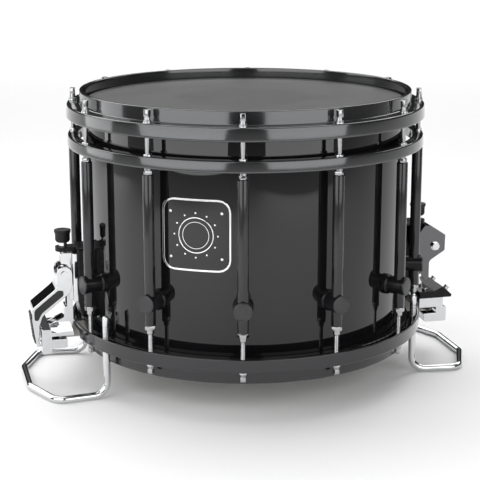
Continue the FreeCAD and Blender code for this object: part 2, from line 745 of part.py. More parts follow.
def lever_outline(inset):
    """Side outline of the lever's hood, moved in from its outer face by an inset."""
    tip_z = 43.0 + inset * 0.6
    return [
        (PIVOT_X - LEVER_ROUND, PIVOT_Z + LEVER_ROUND, LEVER_ROUND - 0.3),
        (PIVOT_X + LEVER_ROUND - inset, PIVOT_Z + LEVER_ROUND, LEVER_ROUND - 0.4 - inset * 0.5),
        (PIVOT_X + LEVER_ROUND - inset, 109.5 - inset * 0.4, 12.0),
        (247.5 - inset, 87.0 - inset * 0.4, 8.0),
        (247.5 - inset, 72.0, 12.0),
        (243.6 - inset, tip_z, 0.8 if inset == 0 else 0),
        (240.6 - inset * 0.1, tip_z, 0.8 if inset == 0 else 0),
        (240.0, 66.0, 6.0),
        (236.0, 78.0, 10.0),
        (204.6, 103.0, 8.0),
        (PIVOT_X - LEVER_ROUND, 112.0, 6.0),
    ]


def make_throw_lever():
    """Hood-shaped lever: an outer skin on two cheeks, open towards the drum."""
    outer = side_plate(lever_outline(0.0), -LEVER_HALF_WIDTH, LEVER_HALF_WIDTH)
    inner_half = LEVER_HALF_WIDTH - LEVER_WALL
    skin_inside = [
        (180.0, 150.0, 0), (PIVOT_X + LEVER_ROUND - LEVER_WALL, 150.0, 0),
        (PIVOT_X + LEVER_ROUND - LEVER_WALL, 109.5 - 1.0, 10.0),
        (247.5 - LEVER_WALL, 87.0 - 1.0, 6.0), (247.5 - LEVER_WALL, 72.0, 10.0),
        (242.2, 46.0, 0), (242.2, 30.0, 0), (180.0, 30.0, 0),
    ]
    hollow = side_plate(skin_inside, -inner_half, inner_half)
    head_room = box(190.0, 225.0, inner_half, LEVER_WEB_TOP, 150.0)
    bore = cross_rod(PIVOT_RADIUS + RUNNING_GAP, -30, 30, PIVOT_X, PIVOT_Z)
    return spun(outer.cut([hollow, head_room, bore]), 180)


def make_throw_cam_pins():
    """Eccentric pin on the inside of each cheek, running in the carriage's yoke."""
    angle = math.radians(ECCENTRIC_START)
    x = PIVOT_X + ECCENTRIC_THROW * math.cos(angle)
    z = PIVOT_Z + ECCENTRIC_THROW * math.sin(angle)
    inner, outer = YOKE_INNER + 0.2, LEVER_HALF_WIDTH - LEVER_WALL
    pins = [cross_rod(ECCENTRIC_PIN_RADIUS, low, high, x, z)
            for low, high in ((inner, outer), (-outer, -inner))]
    return spun(Part.makeCompound(pins), 180)


def make_throw_spindle():
    """Height spindle."""
    return spun(strainer_spindle(THROW_ARM_TOP, 129.5), 180)


def make_throw_knob():
    """Height knob."""
    return spun(strainer_knob(THROW_ARM_TOP), 180)


def make_throw_carriage():
    """Snare carriage: two yoke arms, a bridge, the upper jaw and the front block."""
    angle = math.radians(ECCENTRIC_START)
    pin_x = PIVOT_X + ECCENTRIC_THROW * math.cos(angle)
    pin_z = PIVOT_Z + ECCENTRIC_THROW * math.sin(angle)
    back = SLIDE_BACK + 0.1
    slot_half = ECCENTRIC_PIN_RADIUS + YOKE_SLOT_GAP
    slot_back = PIVOT_X - ECCENTRIC_THROW - ECCENTRIC_PIN_RADIUS - 0.25
    arm = [
        (back, 80.0, 0), (YOKE_FRONT, 80.0, 0), (YOKE_FRONT, pin_z - slot_half, 0),
        (slot_back, pin_z - slot_half, 1.2), (slot_back, pin_z + slot_half, 1.2),
        (YOKE_FRONT, pin_z + slot_half, 0), (YOKE_FRONT, pin_z + slot_half + 3.2, 1.5),
        (back, pin_z + slot_half + 3.2, 0.6),
    ]
    arms = both_sides(arm, YOKE_INNER, YOKE_OUTER)
    bridge = side_plate([
        (back, 70.0, 0), (CLAMP_BACK, 60.0, 0), (214.0, 60.0, 0), (212.0, 74.0, 3.0),
        (210.0, 86.0, 1.5), (back, 86.0, 0),
    ], -YOKE_OUTER, YOKE_OUTER)
    jaw = box(CLAMP_BACK, 230.0, CLAMP_HALF_WIDTH, JAW_BOTTOM, 62.5)
    front = side_plate([
        (228.0, 38.0, 1.0), (THROW_CLAMP_FRONT, 38.0, 1.5), (THROW_CLAMP_FRONT, 66.0, 2.0),
        (228.0, 66.0, 1.5),
    ], -CLAMP_HALF_WIDTH, CLAMP_HALF_WIDTH)
    rib = side_plate([
        (210.0, 62.0, 0), (229.0, 62.0, 0), (229.0, 65.5, 0), (213.0, 73.0, 2.0), (210.0, 73.0, 0),
    ], -1.5, 1.5)
    ribs = [moved(rib, 0, side * (YOKE_OUTER - 1.5)) for side in (-1, 1)]
    holes = throw_clamp_holes()
    return spun(fused([bridge, jaw, front] + arms + ribs).cut(holes), 180)


def make_throw_clamp_plate():
    """Lower jaw of the throw-off's clamp."""
    plate = box(211.0, 228.0, CLAMP_HALF_WIDTH, 44.0, THROW_PLATE_TOP)
    long_edges = [edge for edge in plate.Edges if edge.BoundBox.YLength > 20]
    return spun(plate.makeFillet(1.0, long_edges).cut(throw_clamp_holes()), 180)


def throw_clamp_holes():
    """Cutters for the throw-off's two clamp screws."""
    return [radial_rod(CLAMP_SCREW_RADIUS, 205.0, THROW_CLAMP_FRONT + 5, THROW_CLAMP_SCREW_Z, y)
            for y in (-CLAMP_SCREW_OFFSET, CLAMP_SCREW_OFFSET)]


def make_throw_clamp_screws():
    """Clamp screws of the throw-off."""
    return spun(Part.makeCompound(jaw_screws(THROW_CLAMP_FRONT, THROW_CLAMP_SCREW_Z)), 180)


# ---------------------------------------------------------------- snares


def make_snare_strands():
    """Gut strands across the lower head."""
    strands = []
    for index in range(STRAND_COUNT):
        y = (index - (STRAND_COUNT - 1) / 2) * STRAND_PITCH
        strands.append(radial_rod(STRAND_RADIUS, -STRAND_END, STRAND_END, STRAND_HEIGHT, y))
    return Part.makeCompound(strands)


def make_strand_bars():
    """Moulded bar that spaces the strands at each end, inside the clamps."""
    bars = []
    half_width = (STRAND_COUNT - 1) / 2 * STRAND_PITCH + 1.4
    for side in (-1, 1):
        centre = side * STRAND_BAR_CENTRE
        bar = box(centre - 2.5, centre + 2.5, half_width, STRAND_HEIGHT - 0.9, STRAND_HEIGHT + 0.9)
        bars.append(bar.cut(make_snare_strands()))
    return Part.makeCompound(bars)


# ---------------------------------------------------------------- butt strainer


def make_butt_base():
    """Base of the butt strainer."""
    return strainer_base(BUTT_ARM_TOP)


def make_butt_face_plate():
    """Face plate of the butt strainer."""
    return strainer_face_plate(BUTT_ARM_TOP)


def make_butt_base_screws():
    """Screws of the butt strainer's base."""
    return strainer_base_screws()


def make_butt_slide():
    """Height slide of the butt: fork, back plate, neck and the upper jaw over the strands."""
    back_plate = box(SLIDE_BACK, SLIDE_FRONT, YOKE_OUTER, 80.0, 145.0)
    neck = side_plate([
        (SLIDE_BACK, 94.0, 0), (SLIDE_BACK, 78.0, 0), (CLAMP_BACK, 68.0, 0), (216.0, 68.0, 0),
        (213.0, 86.0, 4.0), (208.0, 96.0, 3.0), (SLIDE_FRONT, 106.0, 0),
    ], -YOKE_OUTER, YOKE_OUTER)
    jaw = side_plate([
        (CLAMP_BACK, BUTT_JAW_BOTTOM, 0), (BUTT_JAW_FRONT, BUTT_JAW_BOTTOM, 0.8),
        (BUTT_JAW_FRONT, FOOT_BOTTOM, 0.8), (CLAMP_BACK, FOOT_BOTTOM, 0),
    ], -CLAMP_HALF_WIDTH, CLAMP_HALF_WIDTH)
    shoulder = box(SLIDE_BACK, BRACKET_BACK, BRACKET_HALF_WIDTH, 114.0, 145.0)
    return fused([slide_head(BUTT_ARM_TOP), back_plate, shoulder, neck, jaw])


def make_butt_bracket():
    """Hooded bracket on the slide: a sloping roof on two cheeks."""
    outline = [
        (BRACKET_BACK, 144.0, 0), (214.5, 154.8, 3.0), (221.5, 154.8, 2.0), (240.0, 142.6, 2.0),
        (239.6, 124.0, 2.0), (230.0, 118.0, 6.0), (220.5, 112.0, 6.0), (220.5, 93.0, 4.0),
        (216.6, 87.0, 2.0), (BRACKET_BACK, 104.0, 0),
    ]
    cheeks = side_plate(outline, -BRACKET_HALF_WIDTH, BRACKET_HALF_WIDTH)
    hollow = side_plate([
        (SLIDE_FRONT, 165.0, 0), (FORK_FRONT + 1.5, 165.0, 0), (FORK_FRONT + 1.5, 152.2, 0),
        (220.7, 152.2, 1.5), (237.4, 141.2, 1.5), (237.0, 110.0, 0), (223.0, 110.0, 0),
        (223.0, 60.0, 0), (SLIDE_FRONT, 60.0, 0),
    ], -YOKE_OUTER - SLIDE_GAP, YOKE_OUTER + SLIDE_GAP)
    bolt_hole = cross_rod(2.5, -20, 20, BRACKET_BOLT_X, BRACKET_BOLT_Z)
    return cheeks.cut([hollow, bolt_hole])


def make_butt_bracket_bolt():
    """Hexagonal bolt across the bracket with a nut on the other side."""
    x, z = BRACKET_BOLT_X, BRACKET_BOLT_Z
    shank = cross_rod(2.5, -13.5, 13.5, x, z)
    ends = []
    for side in (-1, 1):
        washer = cross_rod(5.2, 13.5, 14.5, x, z)
        nut = hex_prism(8.0, 14.5, 18.0)
        nut.rotate(Vector(), Vector(1, 0, 0), -90)
        end = fused([washer, moved(nut, x, 0, z)])
        ends.append(end if side > 0 else end.mirror(Vector(), Vector(0, 1, 0)))
    return fused([shank] + ends)


def make_butt_carriage():
    """Flared foot on top of the butt's upper jaw."""
    foot = side_plate([
        (CLAMP_BACK, FOOT_BOTTOM, 0), (FOOT_TIP[0] - 1.5, FOOT_BOTTOM, 0.5), (*FOOT_TIP, 1.0),
        (*FOOT_CREST, 2.0), (222.0, FOOT_BACK_TOP, 5.0), (CLAMP_BACK, FOOT_BACK_TOP, 1.0),
    ], -CLAMP_HALF_WIDTH, CLAMP_HALF_WIDTH)
    recess = box(SLIDE_BACK, 216.4, YOKE_OUTER, FOOT_BOTTOM - 1, FOOT_BACK_TOP + 10)
    return foot.cut(recess)


def make_butt_clamp_plate():
    """Lower jaw block of the butt, with room for the strands' ends to ride up and down."""
    front = BUTT_JAW_FRONT + 4
    bottom = BUTT_POCKET_FLOOR - 10
    return side_plate([
        (209.0, BUTT_POCKET_FLOOR, 1.0), (BUTT_POCKET_FRONT, BUTT_POCKET_FLOOR, 0),
        (BUTT_POCKET_FRONT, BUTT_JAW_BOTTOM, 0), (front, BUTT_JAW_BOTTOM, 1.5),
        (front, bottom, 2.0), (209.0, bottom, 3.0),
    ], -CLAMP_HALF_WIDTH, CLAMP_HALF_WIDTH)


def make_butt_clamp_screws():
    """Cap screws of the butt's clamp, with a thumb screw on each end of the flared foot."""
    screws = []
    slope = Vector(FOOT_CREST[1] - FOOT_TIP[1], 0, FOOT_TIP[0] - FOOT_CREST[0]).normalize()
    seat = Vector((FOOT_CREST[0] + FOOT_TIP[0]) / 2, 0, (FOOT_CREST[1] + FOOT_TIP[1]) / 2)
    for y in (-CLAMP_SCREW_OFFSET, CLAMP_SCREW_OFFSET):
        cap = upright_rod(3.4, FOOT_BACK_TOP, FOOT_BACK_TOP + 2.6, 213.0, y)
        top = [edge for edge in cap.Edges if edge.BoundBox.ZMin > FOOT_BACK_TOP + 2]
        screws.append(cap.makeFillet(0.8, top))
        screws.append(Part.makeCylinder(3.0, 4.5, seat + Vector(0, y, 0), slope))
    return Part.makeCompound(screws)


def make_butt_spindle():
    """Height spindle of the butt."""
    return strainer_spindle(BUTT_ARM_TOP, 136.0)


def make_butt_knob():
    """Height knob of the butt."""
    return strainer_knob(BUTT_ARM_TOP)


NODE_MAKERS = (
    make_shell, make_badge_plate, make_badge_rivets, make_air_vent, make_batter_head,
    make_snare_side_head, make_batter_flesh_hoop, make_snare_side_flesh_hoop, make_batter_hoop,
    make_snare_side_hoop, make_batter_rods, make_snare_side_rods, make_batter_rod_washers,
    make_snare_side_rod_washers, make_tension_ring, make_ring_ferrules, make_ring_nuts, make_tube_lugs,
    make_lug_posts, make_post_caps, make_post_screws, make_lug_end_nuts, make_snare_guard_butt,
    make_snare_guard_throw, make_guard_sleeves, make_throw_base, make_throw_face_plate,
    make_throw_base_screws, make_throw_slide, make_throw_pivot_pin, make_throw_lever,
    make_throw_cam_pins, make_throw_spindle, make_throw_knob, make_throw_carriage,
    make_throw_clamp_plate, make_throw_clamp_screws, make_snare_strands, make_strand_bars,
    make_butt_base, make_butt_face_plate, make_butt_base_screws, make_butt_slide, make_butt_bracket,
    make_butt_bracket_bolt, make_butt_carriage, make_butt_clamp_plate, make_butt_clamp_screws,
    make_butt_spindle, make_butt_knob,
)


def main():
    """Build every sub-part and write one STEP file for each."""
    os.makedirs("parts", exist_ok=True)
    for maker in NODE_MAKERS:
        name = maker.__name__.removeprefix("make_")
        shape = maker()
        if not shape.isValid():
            raise ValueError(name + " is not a valid shape")
        shape.exportStep(os.path.join("parts", name + ".step"))
        print(name, len(shape.Solids), round(shape.Volume))


main()
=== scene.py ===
"""A high-tension marching snare drum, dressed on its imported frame.

Every length is in metres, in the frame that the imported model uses: +Z up, the drum's axis on the Z axis,
the snares along X with the throw-off at -X. Rigid castings are bevelled copies of the frame's nodes; turned,
threaded and fine pieces are built here.
"""
import logging
import math
from collections.abc import Iterable, Sequence
from dataclasses import dataclass, field
from enum import Enum

import bmesh
import bpy
from mathutils import Matrix, Vector


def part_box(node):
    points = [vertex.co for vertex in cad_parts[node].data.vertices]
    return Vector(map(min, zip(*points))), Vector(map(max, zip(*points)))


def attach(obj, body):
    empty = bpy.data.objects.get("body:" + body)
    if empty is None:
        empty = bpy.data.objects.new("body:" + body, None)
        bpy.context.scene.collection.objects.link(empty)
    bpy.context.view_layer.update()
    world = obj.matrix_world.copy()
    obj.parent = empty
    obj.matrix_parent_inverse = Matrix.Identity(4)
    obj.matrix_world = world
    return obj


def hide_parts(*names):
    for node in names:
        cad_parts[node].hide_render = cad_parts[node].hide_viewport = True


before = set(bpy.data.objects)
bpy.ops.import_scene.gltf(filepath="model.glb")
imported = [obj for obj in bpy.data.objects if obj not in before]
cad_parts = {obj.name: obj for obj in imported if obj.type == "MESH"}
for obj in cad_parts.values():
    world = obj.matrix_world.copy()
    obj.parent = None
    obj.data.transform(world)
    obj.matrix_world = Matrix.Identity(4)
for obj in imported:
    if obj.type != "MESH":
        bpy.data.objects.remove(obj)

LOG = logging.getLogger("snare_drum")
MERGE_DISTANCE = 1e-6
SAME_PLACE = 1e-7
ROD_CIRCLE = 0.194
LUG_ANGLES = tuple(15.0 + 30.0 * index for index in range(12))
Corner = tuple[float, float, float]
Colour = tuple[float, float, float]


class Slot(Enum):
    """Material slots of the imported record."""

    SHELL = "shell_lacquer"
    GUNMETAL = "gunmetal"
    CHROME = "chrome"
    CASTING = "black_cast"
    CAP = "cap_steel"
    BADGE = "badge_metal"
    BATTER = "batter_film"
    CLEAR = "clear_film"
    GUT = "gut"
    BAR = "bar_plastic"
    KNOB = "knob_black"


class Body(Enum):
    """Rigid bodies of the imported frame."""

    DRUM = "drum"
    THROW_KNOB = "throw_knob_body"
    THROW_SLIDE = "throw_slide_body"
    THROW_LEVER = "throw_lever_body"
    THROW_CARRIAGE = "throw_carriage_body"
    SNARES = "snares_body"
    BUTT_SLIDE = "butt_slide_body"
    BUTT_KNOB = "butt_knob_body"


# ---------------------------------------------------------------- finishes


class NodeBench:
    """Builds one node material around its Principled shader."""

    def __init__(self, name: str) -> None:
        """Start a material.

        Args:
            name: plain name of the finish.
        """
        self.material = bpy.data.materials.new(name)
        self.material.use_nodes = True
        self.tree = self.material.node_tree
        self.shader = self.tree.nodes["Principled BSDF"]

    def node(self, kind: str, **values: object) -> bpy.types.Node:
        """Add a node and set its own properties.

        Args:
            kind: the node's type name.
            values: properties to set on it.

        Returns:
            The new node.
        """
        made = self.tree.nodes.new(kind)
        for key, value in values.items():
            setattr(made, key, value)
        return made

    def join(self, start: bpy.types.NodeSocket, end: bpy.types.NodeSocket) -> None:
        """Link two sockets."""
        self.tree.links.new(start, end)

    def place(self, scale: Sequence[float] = (1, 1, 1)) -> bpy.types.NodeSocket:
        """Object coordinates, scaled.

        Args:
            scale: stretch of the pattern along each axis.

        Returns:
            The vector socket to feed a texture.
        """
        source = self.node("ShaderNodeTexCoord")
        mapping = self.node("ShaderNodeMapping")
        mapping.inputs["Scale"].default_value = scale
        self.join(source.outputs["Object"], mapping.inputs["Vector"])
        return mapping.outputs["Vector"]

    def noise(self, vector: bpy.types.NodeSocket, scale: float, detail: float = 2.0) -> bpy.types.NodeSocket:
        """Fractal noise.

        Args:
            vector: place to read the noise at.
            scale: how many lumps to a metre.
            detail: octaves.

        Returns:
            The noise value.
        """
        made = self.node("ShaderNodeTexNoise")
        made.inputs["Scale"].default_value = scale
        made.inputs["Detail"].default_value = detail
        self.join(vector, made.inputs["Vector"])
        return made.outputs["Fac"]

    def wave(self, vector: bpy.types.NodeSocket, scale: float, direction: str,
             distortion: float) -> bpy.types.NodeSocket:
        """Regular bands.

        Args:
            vector: place to read the wave at.
            scale: how close the bands are.
            direction: axis of the bands.
            distortion: how much the bands wander.

        Returns:
            The wave's value.
        """
        made = self.node("ShaderNodeTexWave", wave_type="BANDS", bands_direction=direction)
        made.inputs["Scale"].default_value = scale
        made.inputs["Distortion"].default_value = distortion
        self.join(vector, made.inputs["Vector"])
        return made.outputs["Fac"]

    def remap(self, value: bpy.types.NodeSocket, low: float, high: float, start: float = 0.0,
              end: float = 1.0) -> bpy.types.NodeSocket:
        """Stretch a value to a new range.

        Args:
            value: the value to stretch.
            low: result at the start.
            high: result at the end.
            start: value that gives low.
            end: value that gives high.

        Returns:
            The stretched value.
        """
        made = self.node("ShaderNodeMapRange")
        made.inputs["From Min"].default_value = start
        made.inputs["From Max"].default_value = end
        made.inputs["To Min"].default_value = low
        made.inputs["To Max"].default_value = high
        self.join(value, made.inputs["Value"])
        return made.outputs["Result"]

    def blend(self, factor: bpy.types.NodeSocket, first: Sequence[float], second: Sequence[float],
              stops: tuple[float, float] = (0.0, 1.0)) -> bpy.types.NodeSocket:
        """Colour ramp between two colours.

        Args:
            factor: the value that chooses between them.
            first: colour at the first stop.
            second: colour at the second stop.
            stops: places of the two stops.

        Returns:
            The colour.
        """
        made = self.node("ShaderNodeValToRGB")
        for element, place, colour in zip(made.color_ramp.elements, stops, (first, second)):
            element.position = place
            element.color = (*colour, 1.0)
        self.join(factor, made.inputs["Fac"])
        return made.outputs["Color"]

    def math(self, operation: str, first: bpy.types.NodeSocket,
             second: float | bpy.types.NodeSocket = 0.0) -> bpy.types.NodeSocket:
        """Arithmetic on a value.

        Args:
            operation: Blender's name of the operation.
            first: first value.
            second: number or second value.

        Returns:
            The result.
        """
        made = self.node("ShaderNodeMath", operation=operation)
        self.join(first, made.inputs[0])
        if isinstance(second, float):
            made.inputs[1].default_value = second
        else:
            self.join(second, made.inputs[1])
        return made.outputs[0]

    def radius(self, vector: bpy.types.NodeSocket) -> bpy.types.NodeSocket:
        """Distance from the Z axis of a place.

        Args:
            vector: the place.

        Returns:
            The distance.
        """
        flat = self.node("ShaderNodeVectorMath", operation="MULTIPLY")
        flat.inputs[1].default_value = (1, 1, 0)
        length = self.node("ShaderNodeVectorMath", operation="LENGTH")
        self.join(vector, flat.inputs[0])
        self.join(flat.outputs["Vector"], length.inputs[0])
        return length.outputs["Value"]

    def bump(self, height: bpy.types.NodeSocket, strength: float, distance: float) -> None:
        """Add relief to the shader's normal.

        Args:
            height: the relief's height.
            strength: how strong it is.
            distance: its depth.
        """
        made = self.node("ShaderNodeBump")
        made.inputs["Strength"].default_value = strength
        made.inputs["Distance"].default_value = distance
        self.join(height, made.inputs["Height"])
        self.join(made.outputs["Normal"], self.shader.inputs["Normal"])

    def feed(self, value: bpy.types.NodeSocket, socket: str) -> None:
        """Link a value to a socket of the shader."""
        self.join(value, self.shader.inputs[socket])

    def fix(self, **values: object) -> None:
        """Set constant values on the shader, with underscores for the spaces in socket names."""
        for key, value in values.items():
            self.shader.inputs[key.replace("_", " ")].default_value = value


@dataclass(frozen=True)
class Finish:
    """A surface finish. Each kind fills in its own nodes."""

    name: str

    def dress(self, bench: NodeBench) -> None:
        """Fill in the nodes."""
        raise NotImplementedError

    def material(self) -> bpy.types.Material:
        """The finish's one material, made when it is first asked for.

        Returns:
            The material.
        """
        found = bpy.data.materials.get(self.name)
        if found is None:
            bench = NodeBench(self.name)
            self.dress(bench)
            found = bench.material
        return found


@dataclass(frozen=True)
class Lacquer(Finish):
    """Deep polished lacquer with faint orange peel."""

    colour: Colour
    haze: float = 0.05

    def dress(self, bench: NodeBench) -> None:
        """Black body under a clear coat."""
        place = bench.place()
        cloud = bench.noise(place, 9.0, 3.0)
        tint = tuple(min(1.0, c * 1.6 + 0.001) for c in self.colour)
        bench.feed(bench.blend(cloud, self.colour, tint, (0.35, 0.75)), "Base Color")
        bench.feed(bench.remap(bench.noise(place, 60.0, 4.0), self.haze, self.haze * 2.2), "Roughness")
        bench.bump(bench.noise(place, 420.0, 1.0), 0.03, 0.0004)
        bench.fix(Coat_Weight=1.0, Coat_Roughness=0.02, Specular_IOR_Level=0.0)


@dataclass(frozen=True)
class HardCoat(Finish):
    """Smooth coat over aluminium, with a fine metallic speckle."""

    colour: Colour
    roughness: float = 0.28
    metallic: float = 0.75

    def dress(self, bench: NodeBench) -> None:
        """Speckled metal with a thin clear coat."""
        place = bench.place()
        fleck = bench.noise(place, 2600.0, 1.0)
        bright = tuple(c * 1.35 for c in self.colour)
        bench.feed(bench.blend(fleck, self.colour, bright, (0.4, 0.7)), "Base Color")
        rub = bench.noise(place, 45.0, 5.0)
        bench.feed(bench.remap(rub, self.roughness * 0.8, self.roughness * 1.25, 0.3, 0.7), "Roughness")
        bench.bump(fleck, 0.05, 0.0001)
        bench.fix(Metallic=self.metallic, Coat_Weight=0.5, Coat_Roughness=0.06)


@dataclass(frozen=True)
class Plating(Finish):
    """Polished plate with faint handling haze."""

    colour: Colour
    roughness: float = 0.07

    def dress(self, bench: NodeBench) -> None:
        """Bright metal whose polish varies a little."""
        place = bench.place()
        haze = bench.noise(place, 130.0, 6.0)
        bench.feed(bench.remap(haze, self.roughness * 0.6, self.roughness * 2.0, 0.35, 0.75), "Roughness")
        cool = tuple(c * 0.93 for c in self.colour)
        bench.feed(bench.blend(haze, self.colour, cool, (0.4, 0.8)), "Base Color")
        bench.bump(bench.noise(place, 900.0, 2.0), 0.02, 0.0001)
        bench.fix(Metallic=1.0)


@dataclass(frozen=True)
class Casting(Finish):
    """Satin black coat over a die casting."""

    colour: Colour
    roughness: float = 0.33
    grain: float = 0.25

    def dress(self, bench: NodeBench) -> None:
        """Black coat with a fine sandy grain."""
        place = bench.place()
        grain = bench.noise(place, 1900.0, 2.0)
        worn = tuple(c * 2.0 + 0.004 for c in self.colour)
        bench.feed(bench.blend(bench.noise(place, 70.0, 5.0), self.colour, worn, (0.45, 0.8)), "Base Color")
        bench.feed(bench.remap(grain, self.roughness * 0.85, self.roughness * 1.2), "Roughness")
        bench.bump(grain, self.grain, 0.00015)
        bench.fix(Specular_IOR_Level=0.18)


@dataclass(frozen=True)
class DarkSteel(Finish):
    """Dark steel with fine scratches."""

    colour: Colour
    roughness: float = 0.3

    def dress(self, bench: NodeBench) -> None:
        """Dark metal whose scratches catch the light."""
        place = bench.place()
        marks = bench.noise(place, 1500.0, 3.0)
        bright = tuple(c * 1.3 for c in self.colour)
        bench.feed(bench.blend(marks, self.colour, bright, (0.4, 0.65)), "Base Color")
        bench.feed(bench.remap(marks, self.roughness * 0.8, self.roughness * 1.3), "Roughness")
        bench.bump(marks, 0.08, 0.0001)
        bench.fix(Metallic=0.9)


@dataclass(frozen=True)
class WovenHead(Finish):
    """Dark woven playing film with a darker reinforcing dot in the middle."""

    colour: Colour
    dot_radius: float = 0.076

    def dress(self, bench: NodeBench) -> None:
        """Weave, laminate haze and the dot's edge."""
        place = bench.place()
        warp = bench.wave(place, 330.0, "X", 1.5)
        weft = bench.wave(place, 330.0, "Y", 1.5)
        weave = bench.math("MULTIPLY", warp, weft)
        distance = bench.radius(place)
        inside = bench.remap(distance, 0.0, 1.0, self.dot_radius - 0.0008, self.dot_radius + 0.0008)
        cloud = bench.noise(place, 26.0, 5.0)
        shade = bench.math("MULTIPLY", bench.remap(cloud, 0.8, 1.2), bench.remap(inside, 0.62, 1.0))
        shade = bench.math("MULTIPLY", shade, bench.remap(weave, 0.88, 1.12))
        dark = tuple(c * 0.3 for c in self.colour)
        bright = tuple(c * 1.7 for c in self.colour)
        bench.feed(bench.blend(bench.remap(shade, 0.0, 1.0, 0.3, 1.7), dark, bright), "Base Color")
        bench.feed(bench.remap(cloud, 0.34, 0.46), "Roughness")
        relief = bench.math("ADD", bench.math("MULTIPLY", weave, 0.25), inside)
        bench.bump(relief, 0.18, 0.00025)
        bench.fix(Specular_IOR_Level=0.5)


@dataclass(frozen=True)
class HazyFilm(Finish):
    """Thin translucent film."""

    colour: Colour

    def dress(self, bench: NodeBench) -> None:
        """Cloudy transmission."""
        place = bench.place()
        cloud = bench.noise(place, 30.0, 4.0)
        pale = tuple(min(1.0, c * 1.08) for c in self.colour)
        bench.feed(bench.blend(cloud, self.colour, pale), "Base Color")
        bench.feed(bench.remap(cloud, 0.18, 0.32), "Roughness")
        bench.bump(bench.noise(place, 250.0, 2.0), 0.05, 0.0002)
        bench.fix(Transmission_Weight=0.65, IOR=1.45)


@dataclass(frozen=True)
class Gut(Finish):
    """Twisted gut cord along X."""

    colour: Colour

    def dress(self, bench: NodeBench) -> None:
        """Fine twist with amber patches."""
        place = bench.place()
        twist = bench.wave(bench.place((1.0, 0.6, 0.6)), 260.0, "DIAGONAL", 2.0)
        amber = tuple(c * f for c, f in zip(self.colour, (0.88, 0.82, 0.72)))
        bench.feed(bench.blend(bench.noise(place, 40.0, 4.0), self.colour, amber, (0.4, 0.75)), "Base Color")
        bench.feed(bench.remap(twist, 0.35, 0.5), "Roughness")
        bench.bump(twist, 0.4, 0.00015)
        bench.fix(Coat_Weight=0.2, Coat_Roughness=0.2)


@dataclass(frozen=True)
class MaplePly(Finish):
    """Bare maple ply: long grain around the shell and glue lines on its edges."""

    colour: Colour
    ply_rate: float = 5400.0

    def dress(self, bench: NodeBench) -> None:
        """Grain stretched along the shell."""
        place = bench.place((14.0, 14.0, 320.0))
        grain = bench.noise(place, 1.6, 7.0)
        depth = bench.math("MULTIPLY", bench.radius(bench.place()), self.ply_rate)
        plies = bench.remap(bench.math("SINE", depth), 0.0, 0.25)
        late = tuple(c * 0.62 for c in self.colour)
        mixed = bench.math("ADD", bench.math("MULTIPLY", grain, 0.8), plies)
        bench.feed(bench.blend(mixed, self.colour, late, (0.35, 0.8)), "Base Color")
        bench.feed(bench.remap(grain, 0.42, 0.62), "Roughness")
        bench.bump(grain, 0.15, 0.0003)
        bench.fix(Coat_Weight=0.15)


@dataclass(frozen=True)
class Moulded(Finish):
    """Moulded rubber or plastic with a fine matt grain."""

    colour: Colour
    roughness: float = 0.6

    def dress(self, bench: NodeBench) -> None:
        """Grained surface with a faint bloom."""
        place = bench.place()
        grain = bench.noise(place, 1400.0, 3.0)
        bloom = tuple(c * 1.5 + 0.006 for c in self.colour)
        bench.feed(bench.blend(bench.noise(place, 80.0, 4.0), self.colour, bloom, (0.4, 0.8)), "Base Color")
        bench.feed(bench.remap(grain, self.roughness * 0.9, min(1.0, self.roughness * 1.2)), "Roughness")
        bench.bump(grain, 0.2, 0.0002)


@dataclass(frozen=True)
class StudioPaint(Finish):
    """Pale studio floor."""

    colour: Colour

    def dress(self, bench: NodeBench) -> None:
        """Soft, almost even paint."""
        place = bench.place()
        tone = bench.noise(place, 1.5, 2.0)
        darker = tuple(c * 0.985 for c in self.colour)
        bench.feed(bench.blend(tone, self.colour, darker), "Base Color")
        bench.fix(Roughness=0.75)


BLACK_LACQUER = Lacquer("black_lacquer", (0.004, 0.004, 0.0045))
GUNMETAL = HardCoat("gunmetal_coat", (0.062, 0.063, 0.065), 0.12)
# Darker copy of the rims' gunmetal coat for the lower rim: painted shade, for the shade that the lower rim
# sits in.
GUNMETAL_PAINTED_SHADE = HardCoat("gunmetal_coat_painted_shade", (0.030, 0.030, 0.032), 0.15)
TUBE_COAT = HardCoat("tube_coat", (0.022, 0.022, 0.024), 0.16)
CHROME = Plating("chrome_plate", (0.66, 0.665, 0.675), 0.045)
# Darkened chrome for the butt bracket: painted reflection of the dark surroundings that the chrome bracket
# mirrors.
CHROME_PAINTED_DARK_REFLECTION = Plating("chrome_painted_dark_reflection", (0.13, 0.13, 0.134), 0.07)
ROD_STEEL = Plating("plated_rod", (0.36, 0.363, 0.37), 0.10)
THREAD_STEEL = Plating("plated_thread", (0.42, 0.42, 0.43), 0.14)
BLACK_CASTING = Casting("black_casting", (0.004, 0.004, 0.0045), 0.26)
# Satin black of the lug posts; on the flesh hoops the same black is painted shade, for the shadow under the
# rims.
POST_BLACK_AND_HOOP_SHADE = Casting("post_black_and_hoop_shade", (0.007, 0.007, 0.008), 0.16, 0.06)
CAP_FACE = DarkSteel("cap_face", (0.055, 0.055, 0.057))
KNOB_BLACK = Casting("knob_black_oxide", (0.012, 0.012, 0.013), 0.4, 0.4)
# Black enamel of the badge panel; on the lever's cheeks the same black is a painted dark reflection.
BADGE_ENAMEL_AND_LEVER_REFLECTION = Lacquer("badge_enamel_and_lever_reflection", (0.004, 0.004, 0.004), 0.09)
BADGE_BRIGHT = Plating("badge_bright", (0.80, 0.80, 0.81), 0.12)
HEAD_FILM = WovenHead("woven_batter_film", (0.027, 0.027, 0.028))
CLEAR_FILM = HazyFilm("hazy_film", (0.80, 0.80, 0.78))
GUT_CORD = Gut("gut_cord", (0.52, 0.515, 0.50))
MAPLE = MaplePly("maple_ply", (0.52, 0.36, 0.20))
RUBBER = Moulded("black_rubber", (0.012, 0.012, 0.012), 0.62)
NYLON = Moulded("black_nylon", (0.02, 0.02, 0.021), 0.42)
FLOOR_PAINT = StudioPaint("studio_floor", (0.86, 0.86, 0.86))


# ---------------------------------------------------------------- mesh tools


